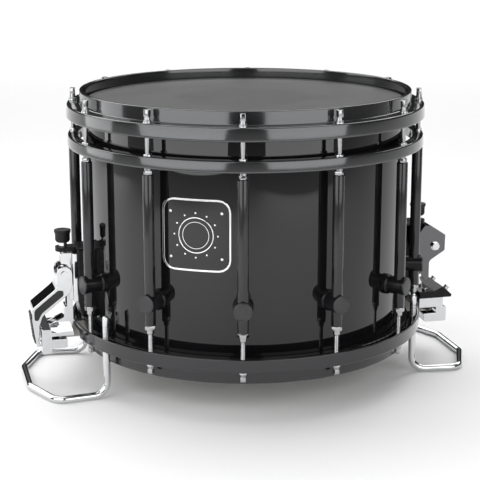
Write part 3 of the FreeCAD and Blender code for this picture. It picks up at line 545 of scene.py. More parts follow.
class Bench:
    """Mesh operations that the sub-assemblies share."""

    @staticmethod
    def section(corners: Sequence[Corner]) -> bmesh.types.BMesh:
        """Closed outline in the XZ plane, with rounded corners.

        Args:
            corners: (x, z, cut) for each corner, where cut is how far the rounding reaches along its edges.

        Returns:
            A mesh with one face.
        """
        bm = bmesh.new()
        points = [bm.verts.new((x, 0, z)) for x, z, _ in corners]
        bm.faces.new(points)
        for cut in sorted({cut for _, _, cut in corners if cut > 0}):
            chosen = [point for point, corner in zip(points, corners) if corner[2] == cut]
            bmesh.ops.bevel(bm, geom=chosen, offset=cut, offset_type="OFFSET", segments=4, profile=0.5,
                            affect="VERTICES", material=-1)
        return bm

    @staticmethod
    def turned(corners: Sequence[Corner], steps: int = 48) -> bmesh.types.BMesh:
        """Body turned about the Z axis.

        Args:
            corners: outline as (radius, z, cut).
            steps: divisions round the axis.

        Returns:
            The closed body.
        """
        bm = Bench.section(corners)
        bmesh.ops.delete(bm, geom=bm.faces[:], context="FACES_ONLY")
        on_axis = [edge for edge in bm.edges if all(abs(vert.co.x) < SAME_PLACE for vert in edge.verts)]
        bmesh.ops.delete(bm, geom=on_axis, context="EDGES")
        bmesh.ops.spin(bm, geom=bm.verts[:] + bm.edges[:], cent=(0, 0, 0), axis=(0, 0, 1), dvec=(0, 0, 0),
                       angle=math.tau, steps=steps, use_merge=True, use_duplicate=False)
        Bench.close(bm)
        return bm

    @staticmethod
    def close(bm: bmesh.types.BMesh) -> None:
        """Merge doubles, drop empty faces and turn the faces outwards."""
        bmesh.ops.remove_doubles(bm, verts=bm.verts[:], dist=MERGE_DISTANCE)
        bmesh.ops.dissolve_degenerate(bm, dist=SAME_PLACE, edges=bm.edges[:])
        bmesh.ops.recalc_face_normals(bm, faces=bm.faces[:])

    @staticmethod
    def raised(bm: bmesh.types.BMesh, step: Sequence[float]) -> bmesh.types.BMesh:
        """Extrude every face by one step.

        Args:
            bm: the mesh.
            step: how far the new faces go.

        Returns:
            The same mesh.
        """
        grown = bmesh.ops.extrude_face_region(bm, geom=bm.faces[:])["geom"]
        far = [item for item in grown if isinstance(item, bmesh.types.BMVert)]
        bmesh.ops.translate(bm, vec=step, verts=far)
        return bm

    @staticmethod
    def ease(bm: bmesh.types.BMesh, edges: Sequence[bmesh.types.BMEdge], width: float, segments: int) -> None:
        """Round over some edges.

        Args:
            bm: the mesh.
            edges: the edges.
            width: width of the rounding.
            segments: steps in it.
        """
        bmesh.ops.bevel(bm, geom=edges, offset=width, offset_type="OFFSET", segments=segments, profile=0.5,
                        affect="EDGES", material=-1)

    @staticmethod
    def hexagon(flats: float, low: float, high: float, chamfer: float) -> bmesh.types.BMesh:
        """Upright hexagonal prism with eased edges.

        Args:
            flats: distance across the flats.
            low: height of its bottom.
            high: height of its top.
            chamfer: width of the easing.

        Returns:
            The prism.
        """
        bm = bmesh.new()
        bmesh.ops.create_circle(bm, cap_ends=True, segments=6, radius=flats / math.sqrt(3))
        bmesh.ops.translate(bm, vec=(0, 0, low), verts=bm.verts[:])
        Bench.raised(bm, (0, 0, high - low))
        Bench.ease(bm, bm.edges[:], chamfer, 2)
        Bench.close(bm)
        return bm

    @staticmethod
    def block(low: Vector, high: Vector, ease: float) -> bmesh.types.BMesh:
        """Block with eased edges.

        Args:
            low: lowest corner.
            high: highest corner.
            ease: width of the easing.

        Returns:
            The block.
        """
        bm = bmesh.new()
        bmesh.ops.create_cube(bm, size=1.0)
        bmesh.ops.scale(bm, vec=high - low, verts=bm.verts[:])
        bmesh.ops.translate(bm, vec=(low + high) / 2, verts=bm.verts[:])
        Bench.ease(bm, bm.edges[:], ease, 3)
        bmesh.ops.recalc_face_normals(bm, faces=bm.faces[:])
        return bm

    @staticmethod
    def socket_head(radius: float, height: float, flats: float, depth: float) -> bmesh.types.BMesh:
        """Round screw head, pointing up from z = 0, with a hexagonal socket.

        Args:
            radius: head's radius.
            height: head's height.
            flats: width of the socket across its flats.
            depth: depth of the socket.

        Returns:
            The head.
        """
        bm = bmesh.new()
        steps = 24
        outer = bmesh.ops.create_circle(bm, cap_ends=False, segments=steps, radius=radius)["verts"]
        outer_edges = list({edge for vert in outer for edge in vert.link_edges})
        rings = [(radius, height * 0.72), (radius * 0.93, height * 0.93), (radius * 0.8, height)]
        loop = outer_edges
        for ring_radius, z in rings:
            grown = bmesh.ops.extrude_edge_only(bm, edges=loop)["geom"]
            loop = [item for item in grown if isinstance(item, bmesh.types.BMEdge)]
            for vert in {vert for edge in loop for vert in edge.verts}:
                vert.co = Vector((vert.co.x, vert.co.y, 0)).normalized() * ring_radius + Vector((0, 0, z))
        hexagon = bmesh.ops.create_circle(bm, cap_ends=False, segments=steps, radius=flats)["verts"]
        for vert in hexagon:
            angle = math.atan2(vert.co.y, vert.co.x) % (math.pi / 3) - math.pi / 6
            vert.co = vert.co.normalized() * (flats / 2 / math.cos(angle))
            vert.co.z = height
        hex_edges = list({edge for vert in hexagon for edge in vert.link_edges})
        bmesh.ops.bridge_loops(bm, edges=loop + hex_edges)
        grown = bmesh.ops.extrude_edge_only(bm, edges=hex_edges)["geom"]
        floor = [item for item in grown if isinstance(item, bmesh.types.BMEdge)]
        bmesh.ops.translate(bm, vec=(0, 0, -depth), verts=list({v for edge in floor for v in edge.verts}))
        bmesh.ops.contextual_create(bm, geom=floor)
        bmesh.ops.contextual_create(bm, geom=outer_edges)
        Bench.close(bm)
        return bm

    @staticmethod
    def merged(parts: Iterable[bmesh.types.BMesh]) -> bmesh.types.BMesh:
        """Put several meshes in one.

        Args:
            parts: the meshes, which are freed.

        Returns:
            One mesh that holds them all.
        """
        whole = bmesh.new()
        for part in parts:
            carrier = bpy.data.meshes.new("carrier")
            part.to_mesh(carrier)
            part.free()
            whole.from_mesh(carrier)
            bpy.data.meshes.remove(carrier)
        return whole

    @staticmethod
    def move(bm: bmesh.types.BMesh, matrix: Matrix) -> bmesh.types.BMesh:
        """Transform a mesh.

        Args:
            bm: the mesh.
            matrix: where it goes.

        Returns:
            The same mesh.
        """
        bmesh.ops.transform(bm, matrix=matrix, verts=bm.verts[:])
        return bm

    @staticmethod
    def around(bm: bmesh.types.BMesh, angles: Sequence[float]) -> bmesh.types.BMesh:
        """Repeat a mesh about the drum's axis.

        Args:
            bm: one part, drawn on the +X axis.
            angles: where the copies go, in degrees.

        Returns:
            The same mesh, with all the copies in it.
        """
        first = bm.verts[:] + bm.edges[:] + bm.faces[:]
        sets = [bmesh.ops.duplicate(bm, geom=first)["geom"] for _ in angles[1:]]
        for angle, items in zip(angles, [first, *sets]):
            verts = [item for item in items if isinstance(item, bmesh.types.BMVert)]
            turn = Matrix.Rotation(math.radians(angle), 3, "Z")
            bmesh.ops.rotate(bm, cent=(0, 0, 0), matrix=turn, verts=verts)
        return bm


@dataclass
class Assembly:
    """A group of pieces that are built together."""

    made: list[bpy.types.Object] = field(default_factory=list, init=False)

    def build(self) -> None:
        """Make and dress the assembly's pieces."""
        raise NotImplementedError

    def piece(self, bm: bmesh.types.BMesh, name: str, finish: Finish, slot: Slot, body: Body = Body.DRUM,
              replaces: Sequence[str] = (), sharp: float = 35.0) -> bpy.types.Object:
        """Turn a mesh into a finished piece.

        Args:
            bm: the mesh, in its place.
            name: plain name of the piece.
            finish: its finish.
            slot: not used.
            body: the body that it moves with.
            replaces: frame nodes that it stands for.
            sharp: angle in degrees past which an edge stays sharp.

        Returns:
            The new object.
        """
        mesh = bpy.data.meshes.new(name)
        bm.to_mesh(mesh)
        bm.free()
        mesh.polygons.foreach_set("use_smooth", [True] * len(mesh.polygons))
        mesh.set_sharp_from_angle(angle=math.radians(sharp))
        made = bpy.data.objects.new(name, mesh)
        bpy.context.scene.collection.objects.link(made)
        mesh.materials.append(finish.material())
        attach(made, body.value)
        if replaces:
            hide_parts(*replaces)
        self.made.append(made)
        LOG.info("piece %s: %d faces, %s", name, len(mesh.polygons), finish.name)
        return made

    def dress_node(self, node: str, finish: Finish) -> None:
        """Give a frame node its finish.

        Args:
            node: the node's name.
            finish: the finish.
        """
        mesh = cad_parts[node].data
        if not mesh.materials:
            mesh.materials.append(finish.material())
        for index in range(len(mesh.materials)):
            mesh.materials[index] = finish.material()
        LOG.info("node %s: %s", node, finish.name)

    def eased_copy(self, node: str, finish: Finish, slot: Slot, body: Body, ease: float) -> bpy.types.Object:
        """Copy a frame node and ease its sharp edges.

        Args:
            node: the node's name.
            finish: the copy's finish.
            slot: not used; only passed on to piece.
            body: the body that it moves with.
            ease: width of the easing.

        Returns:
            The copy, which stands for the node.
        """
        bm = bmesh.new()
        bm.from_mesh(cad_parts[node].data)
        bmesh.ops.remove_doubles(bm, verts=bm.verts[:], dist=2 * MERGE_DISTANCE)
        flat = math.radians(0.6)
        bmesh.ops.dissolve_limit(bm, angle_limit=flat, verts=bm.verts[:], edges=bm.edges[:])
        made = self.piece(bm, node + "_eased", finish, slot, body, (node,), 32.0)
        bevel = made.modifiers.new("ease", "BEVEL")
        bevel.width = ease
        bevel.segments = 2
        bevel.limit_method = "ANGLE"
        bevel.angle_limit = math.radians(40)
        bevel.harden_normals = False
        return made


# ---------------------------------------------------------------- the drum


@dataclass
class Shell(Assembly):
    """Lacquered shell, air vent and the screws inside."""

    wrap: float = 0.0006
    ply: float = 0.0064
    edge: float = 0.0045
    bare: float = 0.0008
    skin_round: float = 0.0006
    edge_round: float = 0.0004

    def build(self) -> None:
        """Build the lacquer skin over the ply."""
        low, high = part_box("shell")
        radius = high.x
        inner = radius - self.wrap - self.ply
        seam = radius - self.wrap
        crest, ease = seam - 0.0010, self.edge_round
        foot, top = low.z + self.bare, high.z - self.bare
        self.piece(Bench.turned([
            (seam, foot, 0), (radius, low.z + 0.0014, self.skin_round),
            (radius, high.z - 0.0014, self.skin_round), (seam, top, 0),
        ], 256), "shell_lacquer_skin", BLACK_LACQUER, Slot.SHELL, replaces=("shell",), sharp=8.0)
        self.piece(Bench.turned([
            (seam, foot, 0), (seam, top, 0), (crest, high.z, ease), (inner + self.edge, high.z, ease),
            (inner, high.z - self.edge, 0), (inner, low.z + self.edge, 0),
            (inner + self.edge, low.z, ease), (crest, low.z, ease),
        ], 192), "shell_plies", MAPLE, Slot.SHELL)
        for node in ("air_vent", "post_screws", "throw_base_screws", "butt_base_screws"):
            self.dress_node(node, CHROME)


@dataclass
class Badge(Assembly):
    """Plain bordered panel with a ring ornament."""

    angle: float = 239.2
    panel: float = 0.0010
    border: float = 0.0018
    border_width: float = 0.0020
    corner: float = 0.013
    width: float = 0.074
    strip: float = 0.0036
    strips: int = 21
    studs: int = 12
    stud: float = 0.0011
    stud_circle: float = 0.0234

    @staticmethod
    def outline(width: float, height: float, corner: float) -> bmesh.types.BMesh:
        """Flat rounded panel in the XZ plane.

        Args:
            width: panel's width.
            height: panel's height.
            corner: how far the corners are cut.

        Returns:
            The panel.
        """
        return Bench.section([(-width / 2, -height / 2, corner), (width / 2, -height / 2, corner),
                              (width / 2, height / 2, corner), (-width / 2, height / 2, corner)])

    def bend(self, bm: bmesh.types.BMesh, height: float) -> bmesh.types.BMesh:
        """Cut a flat mesh, whose depth is -Y, into upright strips and wrap it onto the shell.

        Args:
            bm: the flat mesh.
            height: height of its centre.

        Returns:
            The same mesh.
        """
        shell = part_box("shell")[1].x
        for index in range(self.strips):
            cut = (index - self.strips // 2) * self.strip
            bmesh.ops.bisect_plane(bm, geom=bm.verts[:] + bm.edges[:] + bm.faces[:], dist=MERGE_DISTANCE,
                                   plane_co=(cut, 0, 0), plane_no=(1, 0, 0))
        for vert in bm.verts:
            radius = shell - vert.co.y
            turn = math.radians(self.angle) + vert.co.x / shell
            vert.co = Vector((radius * math.cos(turn), radius * math.sin(turn), height + vert.co.z))
        bmesh.ops.recalc_face_normals(bm, faces=bm.faces[:])
        return bm

    @staticmethod
    def slab(bm: bmesh.types.BMesh, thickness: float) -> bmesh.types.BMesh:
        """Thicken a flat outline outwards and ease its front edges.

        Args:
            bm: the flat outline.
            thickness: its thickness.

        Returns:
            The same mesh.
        """
        Bench.raised(bm, (0, -thickness, 0))
        edges = [edge for edge in bm.edges
                 if all(abs(vert.co.y + thickness) < SAME_PLACE for vert in edge.verts)
                 and len(edge.link_faces) == 2 and edge.calc_face_angle(0) > 1.0]
        Bench.ease(bm, edges, 0.00025, 2)
        return bm

    def frame_bar(self, width: float, height: float) -> bmesh.types.BMesh:
        """Border of the panel as a flat frame.

        Args:
            width: outer width.
            height: outer height.

        Returns:
            The frame.
        """
        bar = self.border_width
        bm = Bench.merged([self.outline(width, height, self.corner),
                           self.outline(width - 2 * bar, height - 2 * bar, self.corner - bar)])
        bmesh.ops.delete(bm, geom=bm.faces[:], context="FACES_ONLY")
        bmesh.ops.bridge_loops(bm, edges=bm.edges[:])
        return bm

    def ring(self, radius: float, bar: float) -> bmesh.types.BMesh:
        """Raised ring that faces outwards, drawn flat.

        Args:
            radius: ring's middle radius.
            bar: its width.

        Returns:
            The ring.
        """
        inner, outer, height = radius - bar / 2, radius + bar / 2, self.border
        crown = height * 0.4
        bm = Bench.turned([(inner, 0, 0), (outer, 0, 0), (outer, height, crown), (inner, height, crown)], 64)
        return Bench.move(bm, Matrix.Rotation(math.radians(90), 4, "X"))

    def build(self) -> None:
        """Build the panel, its border, the ornament and the rivets."""
        low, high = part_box("badge_plate")
        height = high.z - low.z
        centre = (high.z + low.z) / 2
        inset = 0.0008
        panel = self.slab(self.outline(self.width - inset, height - inset, self.corner), self.panel)
        self.piece(self.bend(panel, centre), "badge_panel", BADGE_ENAMEL_AND_LEVER_REFLECTION, Slot.BADGE,
                   replaces=("badge_plate",), sharp=20.0)
        border = self.slab(self.frame_bar(self.width, height), self.border)
        self.piece(self.bend(border, centre), "badge_border", BADGE_BRIGHT, Slot.BADGE, sharp=20.0)
        rings = [self.ring(0.0185, 0.0014), self.ring(0.0140, 0.0006)]
        reach = self.stud_circle
        for index in range(self.studs):
            stud = Bench.turned([(0, 0, 0), (self.stud, 0, 0), (self.stud, self.border, 0.0005),
                                 (0, self.border, 0)], 16)
            Bench.move(stud, Matrix.Rotation(math.radians(90), 4, "X"))
            turn = math.tau * index / self.studs
            Bench.move(stud, Matrix.Translation((reach * math.cos(turn), 0, reach * math.sin(turn))))
            rings.append(stud)
        self.piece(self.bend(Bench.merged(rings), centre), "badge_ornament", BADGE_BRIGHT, Slot.BADGE)
        self.dress_node("badge_rivets", CHROME)


@dataclass
class Heads(Assembly):
    """Playing head, snare-side head and their flesh hoops."""

    film: float = 0.0004
    collar_round: float = 0.0016

    def head(self, node: str, upward: bool) -> bmesh.types.BMesh:
        """Film disc with a turned collar.

        Args:
            node: frame node to follow.
            upward: whether the film is above its collar.

        Returns:
            The film.
        """
        low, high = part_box(node)
        outer = high.x
        inner = outer - self.film
        face, edge = (high.z, low.z) if upward else (low.z, high.z)
        back = face - self.film if upward else face + self.film
        ease = self.collar_round
        rings = [(outer * step / 6, face, 0.0) for step in range(6)]
        under = [(outer * step / 6, back, 0.0) for step in range(5, -1, -1)]
        return Bench.turned([*rings, (outer, face, ease), (outer, edge, 0), (inner, edge, 0),
                             (inner, back, ease - self.film), *under], 192)

    def build(self) -> None:
        """Build both heads."""
        self.piece(self.head("batter_head", True), "batter_film", HEAD_FILM, Slot.BATTER,
                   replaces=("batter_head",))
        self.piece(self.head("snare_side_head", False), "snare_side_film", CLEAR_FILM, Slot.CLEAR,
                   replaces=("snare_side_head",))
        # The flesh hoops' black coat is painted shade: it stands for the shadow under the rims.
        self.dress_node("batter_flesh_hoop", POST_BLACK_AND_HOOP_SHADE)
        self.dress_node("snare_side_flesh_hoop", POST_BLACK_AND_HOOP_SHADE)


@dataclass
class Rims(Assembly):
    """Rims and the second tension ring."""

    collar_inner: float = 0.181
    collar_outer: float = 0.185
    skirt: float = 0.0026
    flange: float = 0.004
    flange_top: float = 0.3088
    ring_inner: float = 0.1874
    rolled: float = 0.055

    def rolled_face(self, radius: float, low: float, high: float) -> list[Corner]:
        """Outer face of a rolled skirt, which leans in a little towards its top.

        Args:
            radius: radius at its foot.
            low: height of its foot.
            high: height of its top.

        Returns:
            The face's corners, upwards.
        """
        lean = self.rolled * (high - low)
        corners = [(radius, low, 0.0009)]
        for step in range(1, 6):
            part = step / 6
            corners.append((radius - lean * part * part, low + (high - low) * part, 0.0))
        return [*corners, (radius - lean, high, 0.0014)]

    def build(self) -> None:
        """Turn the upper rim and the ring, and dress the lower rim with its gates."""
        low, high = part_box("batter_hoop")
        under = self.flange_top - self.flange
        self.piece(Bench.turned([
            (self.collar_inner, under, 0.0006), (high.x - self.skirt, under, 0.0006),
            (high.x - self.skirt, low.z, 0.0006), *self.rolled_face(high.x, low.z, self.flange_top),
            (self.collar_outer, self.flange_top, 0.0012), (self.collar_outer, high.z, 0.0012),
            (self.collar_inner, high.z, 0.0012),
        ], 256), "upper_rim", GUNMETAL, Slot.GUNMETAL, replaces=("batter_hoop",))
        low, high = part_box("tension_ring")
        self.piece(Bench.turned([
            (self.ring_inner, low.z, 0.0010), *self.rolled_face(high.x, low.z, high.z),
            (self.ring_inner, high.z, 0.0010),
        ], 256), "second_ring", GUNMETAL, Slot.GUNMETAL, replaces=("tension_ring",))
        # The lower rim's darker coat is painted shade; the rim has the same gunmetal coat as the upper one.
        self.dress_node("snare_side_hoop", GUNMETAL_PAINTED_SHADE)


@dataclass
class TensionRods(Assembly):
    """Key-headed rods with their washers, nuts and bushes at every lug."""

    rod: float = 0.0027
    key: float = 0.0056
    flange: float = 0.0042
    flange_height: float = 0.0012
    neck: tuple[float, float] = (0.0034, 0.0029)
    neck_share: float = 0.45
    thread_pitch: float = 0.0008
    thread_depth: float = 0.00022
    upper_thread: tuple[float, float] = (0.001, 0.045)
    lower_thread: tuple[float, float] = (0.0585, 0.0905)
    washer: float = 0.0046
    ring_nut_flats: float = 0.0086
    ring_nut_height: float = 0.0042
    ring_nut_sleeve: float = 0.0037
    end_nut_flats: float = 0.011
    end_nut_sleeve: float = 0.0039

    @staticmethod
    def at_lugs(bm: bmesh.types.BMesh) -> bmesh.types.BMesh:
        """Put a part drawn on the Z axis at every lug.

        Args:
            bm: one part.

        Returns:
            The same mesh with the twelve parts.
        """
        Bench.move(bm, Matrix.Translation((ROD_CIRCLE, 0, 0)))
        return Bench.around(bm, LUG_ANGLES)

    def key_head(self, seat: float, height: float) -> list[bmesh.types.BMesh]:
        """Square key head on a tapered, flanged collar.

        Args:
            seat: height of the washer that it bears on.
            height: height of the head.

        Returns:
            The head's two meshes, pointing up.
        """
        neck_top = seat + height * self.neck_share
        collar = Bench.turned([
            (0, seat, 0), (self.flange, seat, 0.0002), (self.flange, seat + self.flange_height, 0.0004),
            (self.neck[0], seat + self.flange_height * 1.5, 0.0004), (self.neck[1], neck_top, 0),
            (0, neck_top, 0),
        ], 32)
        half = self.key / 2
        foot, top = seat + height * 0.4, seat + height
        return [collar, Bench.block(Vector((-half, -half, foot)), Vector((half, half, top)), 0.0006)]

    def shaft(self, low: float, high: float, thread: tuple[float, float]) -> bmesh.types.BMesh:
        """Rod with a cut thread over part of its length.

        Args:
            low: height of the rod's end.
            high: height of its top.
            thread: heights where the thread starts and stops.

        Returns:
            The shaft.
        """
        outline: list[Corner] = [(0, low, 0), (self.rod - 0.0005, low, 0), (self.rod, low + 0.0008, 0)]
        turns = int((thread[1] - thread[0]) / self.thread_pitch)
        for turn in range(turns):
            start = thread[0] + turn * self.thread_pitch
            outline.append((self.rod, start, 0))
            outline.append((self.rod - self.thread_depth, start + self.thread_pitch / 2, 0))
        outline += [(self.rod, thread[0] + turns * self.thread_pitch, 0), (self.rod, high, 0), (0, high, 0)]
        return Bench.turned(outline, 20)

    def build(self) -> None:
        """Build both rings of rods and what they bear on."""
        low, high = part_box("batter_rods")
        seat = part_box("batter_rod_washers")[1].z
        start, stop = self.upper_thread
        upper = [*self.key_head(seat, high.z - seat), self.shaft(low.z, seat, (low.z + start, low.z + stop))]
        self.piece(self.at_lugs(Bench.merged(upper)), "upper_tension_rods", ROD_STEEL, Slot.CHROME,
                   replaces=("batter_rods",))
        low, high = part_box("snare_side_rods")
        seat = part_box("snare_side_rod_washers")[0].z
        head = Bench.merged(self.key_head(-seat, seat - low.z))
        Bench.move(head, Matrix.Rotation(math.pi, 4, "X"))
        shaft = self.shaft(seat, high.z, self.lower_thread)
        self.piece(self.at_lugs(Bench.merged([head, shaft])), "lower_tension_rods", THREAD_STEEL, Slot.CHROME,
                   replaces=("snare_side_rods",))
        for node in ("batter_rod_washers", "snare_side_rod_washers"):
            low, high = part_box(node)
            disc = Bench.turned([(self.rod, low.z, 0), (self.washer, low.z, 0.0003),
                                 (self.washer, high.z, 0.0003), (self.rod, high.z, 0)], 32)
            self.piece(self.at_lugs(disc), node + "_turned", CHROME, Slot.CHROME, replaces=(node,))
        self.dress_node("ring_ferrules", CHROME)
        low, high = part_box("ring_nuts")
        top, sleeve = low.z + self.ring_nut_height, self.ring_nut_sleeve
        nut = [Bench.hexagon(self.ring_nut_flats, low.z, top, 0.0003),
               Bench.turned([(self.rod, top, 0), (sleeve, top, 0), (sleeve, high.z, 0),
                             (self.rod, high.z, 0)], 24)]
        self.piece(self.at_lugs(Bench.merged(nut)), "ring_shoulder_nuts", ROD_STEEL, Slot.CHROME,
                   replaces=("ring_nuts",))
        low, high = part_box("lug_end_nuts")
        middle, sleeve = (low.z + high.z) / 2, self.end_nut_sleeve
        nut = [Bench.hexagon(self.end_nut_flats, middle, high.z, 0.0004),
               Bench.turned([(self.rod, low.z, 0), (sleeve, low.z, 0.0004), (sleeve, middle, 0),
                             (self.rod, middle, 0)], 28)]
        self.piece(self.at_lugs(Bench.merged(nut)), "tube_end_nuts", THREAD_STEEL, Slot.CHROME,
                   replaces=("lug_end_nuts",))


@dataclass
class TubeLugs(Assembly):
    """Tube lugs on their posts."""

    tube: float = 0.006
    bore: float = 0.0034
    cap_radius: float = 0.0099
    cap_face: float = 0.2032
    cap_depth: float = 0.0016
    groove: tuple[float, float, float] = (0.0013, 0.0016, 0.0020)
    groove_depth: float = 0.0003

    def build(self) -> None:
        """Turn the tubes and the caps and dress the posts."""
        low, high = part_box("tube_lugs")
        tube = Bench.turned([(self.bore, low.z, 0.0003), (self.tube, low.z, 0.0006),
                             (self.tube, high.z, 0.0006), (self.bore, high.z, 0.0003)], 36)
        Bench.move(tube, Matrix.Translation((ROD_CIRCLE, 0, 0)))
        self.piece(Bench.around(tube, LUG_ANGLES), "lug_tubes", TUBE_COAT, Slot.GUNMETAL,
                   replaces=("tube_lugs",))
        self.dress_node("lug_posts", POST_BLACK_AND_HOOP_SHADE)
        low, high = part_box("post_caps")
        axis = (low.z + high.z) / 2
        face, back, edge = self.cap_face, self.cap_face - self.cap_depth, self.cap_radius
        outer, middle, inner = (edge - step for step in self.groove)
        cap = Bench.turned([
            (0, back, 0), (edge, back, 0), (edge, face, 0.0006), (outer, face, 0.0001),
            (middle, face - self.groove_depth, 0.0001), (inner, face, 0.0001), (0, face, 0),
        ], 48)
        Bench.move(cap, Matrix.Translation((0, 0, axis)) @ Matrix.Rotation(math.radians(90), 4, "Y"))
        self.piece(Bench.around(cap, LUG_ANGLES), "post_cap_discs", CAP_FACE, Slot.CAP,
                   replaces=("post_caps",))


@dataclass
class Guards(Assembly):
    """Bent-rod snare guards and their ribbed sleeve nuts."""

    rod: float = 0.004
    stud: float = 0.003
    leg: tuple[float, float] = (0.1756, 0.0808)
    shoulder: tuple[float, float] = (0.231, 0.088)
    nose: tuple[float, float] = (0.254, 0.034)
    bend: float = 0.015
    seat: float = 0.0538
    stud_length: float = 0.03
    sleeve: float = 0.0037
    sleeve_foot: float = 0.0040
    sleeve_dome: float = 0.006
    ribs: int = 7
    rib_start: float = 0.010
    rib_pitch: float = 0.0020
    rib_depth: float = 0.0005

    def bent_rod(self, points: Sequence[Vector]) -> bmesh.types.BMesh:
        """Round rod through the points, with an arc at each inner point.

        Args:
            points: the rod's corners.

        Returns:
            The rod, closed at both ends.
        """
        bm = bmesh.new()
        start = Matrix.Translation(points[0])
        bmesh.ops.create_circle(bm, cap_ends=True, segments=24, radius=self.rod, matrix=start)
        ring = bm.edges[:]
        place = points[0]
        for before, corner, after in zip(points, points[1:], points[2:]):
            back, ahead = (before - corner).normalized(), (after - corner).normalized()
            half = back.angle(ahead) / 2
            first = corner + back * (self.bend / math.tan(half))
            ring = self.pushed(bm, ring, first - place)
            centre = corner + (back + ahead).normalized() * (self.bend / math.sin(half))
            verts = list({vert for edge in ring for vert in edge.verts})
            turned = bmesh.ops.spin(bm, geom=ring + verts, cent=centre, axis=ahead.cross(back),
                                    dvec=(0, 0, 0), angle=math.pi - 2 * half, steps=12,
                                    use_merge=False, use_duplicate=False)
            ring = [item for item in turned["geom_last"] if isinstance(item, bmesh.types.BMEdge)]
            place = corner + ahead * (self.bend / math.tan(half))
        ring = self.pushed(bm, ring, points[-1] - place)
        bmesh.ops.contextual_create(bm, geom=ring)
        Bench.close(bm)
        return bm

    @staticmethod
    def pushed(bm: bmesh.types.BMesh, ring: list[bmesh.types.BMEdge],
               step: Vector) -> list[bmesh.types.BMEdge]:
        """Extrude a ring of edges straight on.

        Args:
            bm: the mesh.
            ring: the open ring.
            step: how far to go.

        Returns:
            The new open ring.
        """
        grown = bmesh.ops.extrude_edge_only(bm, edges=ring)["geom"]
        verts = [item for item in grown if isinstance(item, bmesh.types.BMVert)]
        bmesh.ops.translate(bm, vec=step, verts=verts)
        return [item for item in grown if isinstance(item, bmesh.types.BMEdge)]

    def guard(self, node: str, turn: float) -> None:
        """Bend one guard and give it its studs.

        Args:
            node: the frame node that it stands for.
            turn: its side, as a rotation in degrees.
        """
        half = [Vector((*self.leg, self.seat)), Vector((*self.leg, self.rod)),
                Vector((*self.shoulder, self.rod)), Vector((*self.nose, self.rod))]
        points = half + [Vector((point.x, -point.y, point.z)) for point in reversed(half)]
        studs = []
        foot, top = self.seat - 0.001, self.seat + self.stud_length
        for side in (-1, 1):
            stud = Bench.turned([(0, foot, 0), (self.stud, foot, 0), (self.stud, top, 0), (0, top, 0)], 20)
            studs.append(Bench.move(stud, Matrix.Translation((self.leg[0], side * self.leg[1], 0))))
        whole = Bench.merged([self.bent_rod(points), *studs])
        Bench.move(whole, Matrix.Rotation(math.radians(turn), 4, "Z"))
        self.piece(whole, node + "_bent", CHROME, Slot.CHROME, replaces=(node,))

    def build(self) -> None:
        """Bend both guards and turn their sleeve nuts."""
        self.guard("snare_guard_butt", 0.0)
        self.guard("snare_guard_throw", 180.0)
        low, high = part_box("guard_sleeves")
        outline: list[Corner] = [
            (self.stud, low.z, 0), (self.sleeve_foot, low.z, 0.0002),
            (self.sleeve_foot, low.z + 0.002, 0.0002), (self.sleeve, low.z + 0.0024, 0),
        ]
        bottom = self.sleeve - self.rib_depth
        for rib in range(self.ribs):
            start = low.z + self.rib_start + rib * self.rib_pitch
            outline += [(self.sleeve, start, 0.0002), (bottom, start + 0.0005, 0.0001),
                        (bottom, start + 0.0010, 0.0001), (self.sleeve, start + 0.0014, 0.0002)]
        inside = high.z - self.sleeve_dome
        outline += [(self.sleeve, high.z, 0.0032), (0, high.z, 0), (0, inside, 0), (self.stud, inside, 0)]
        sleeves = []
        for along in (-1, 1):
            for across in (-1, 1):
                nut = Bench.turned(outline, 28)
                place = Vector((along * self.leg[0], across * self.leg[1], 0))
                sleeves.append(Bench.move(nut, Matrix.Translation(place)))
        self.piece(Bench.merged(sleeves), "guard_sleeve_nuts", CHROME, Slot.CHROME,
                   replaces=("guard_sleeves",))


@dataclass
class Knob(Assembly):
    """Knurled strainer knob with a flared, scalloped top."""

    node: str = "throw_knob"
    body: Body = Body.THROW_KNOB
    steps: int = 72
    rows: int = 9
    knurl: float = 0.00022
    scallops: int = 18
    scallop_depth: float = 0.0004
    waist_share: float = 0.86
    flare: float = 0.0038
    foot: float = 0.0022
    crown_share: float = 0.94
    dish: tuple[float, float] = (0.0052, 0.0046)
    dish_depth: float = 0.0006

    def build(self) -> None:
        """Turn the knob, raise its knurl and scallop its top."""
        low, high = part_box(self.node)
        centre = (low + high) / 2
        radius = (high.x - low.x) / 2
        waist = radius * self.waist_share
        start = low.z + self.foot
        pitch = (high.z - self.flare - 0.001 - start) / self.rows
        dish = high.z - self.dish_depth
        band: list[Corner] = [(waist, start + pitch * row, 0) for row in range(self.rows + 1)]
        bm = Bench.turned([
            (0, low.z, 0), (waist - 0.0012, low.z, 0.0003), (waist - 0.0004, low.z + 0.0012, 0), *band,
            (radius, high.z - 0.0026, 0.0004), (radius, high.z, 0.0006), (self.dish[0], high.z, 0.0003),
            (self.dish[1], dish, 0.0002), (0, dish, 0),
        ], self.steps)
        for vert in bm.verts:
            turn = math.atan2(vert.co.y, vert.co.x)
            away = math.hypot(vert.co.x, vert.co.y)
            if away < MERGE_DISTANCE:
                continue
            grow = 0.0
            if abs(away - waist) < MERGE_DISTANCE:
                row = round((vert.co.z - start) / pitch)
                step = round(turn / math.tau * self.steps)
                grow = self.knurl if (row + step) % 2 else -self.knurl
            elif away > radius * self.crown_share:
                grow = -self.scallop_depth * (1 - math.cos(self.scallops * turn)) / 2
            vert.co.x *= 1 + grow / away
            vert.co.y *= 1 + grow / away
        Bench.move(bm, Matrix.Translation((centre.x, centre.y, 0)))
        self.piece(bm, self.node + "_knurled", KNOB_BLACK, Slot.KNOB, self.body, (self.node,), 50.0)


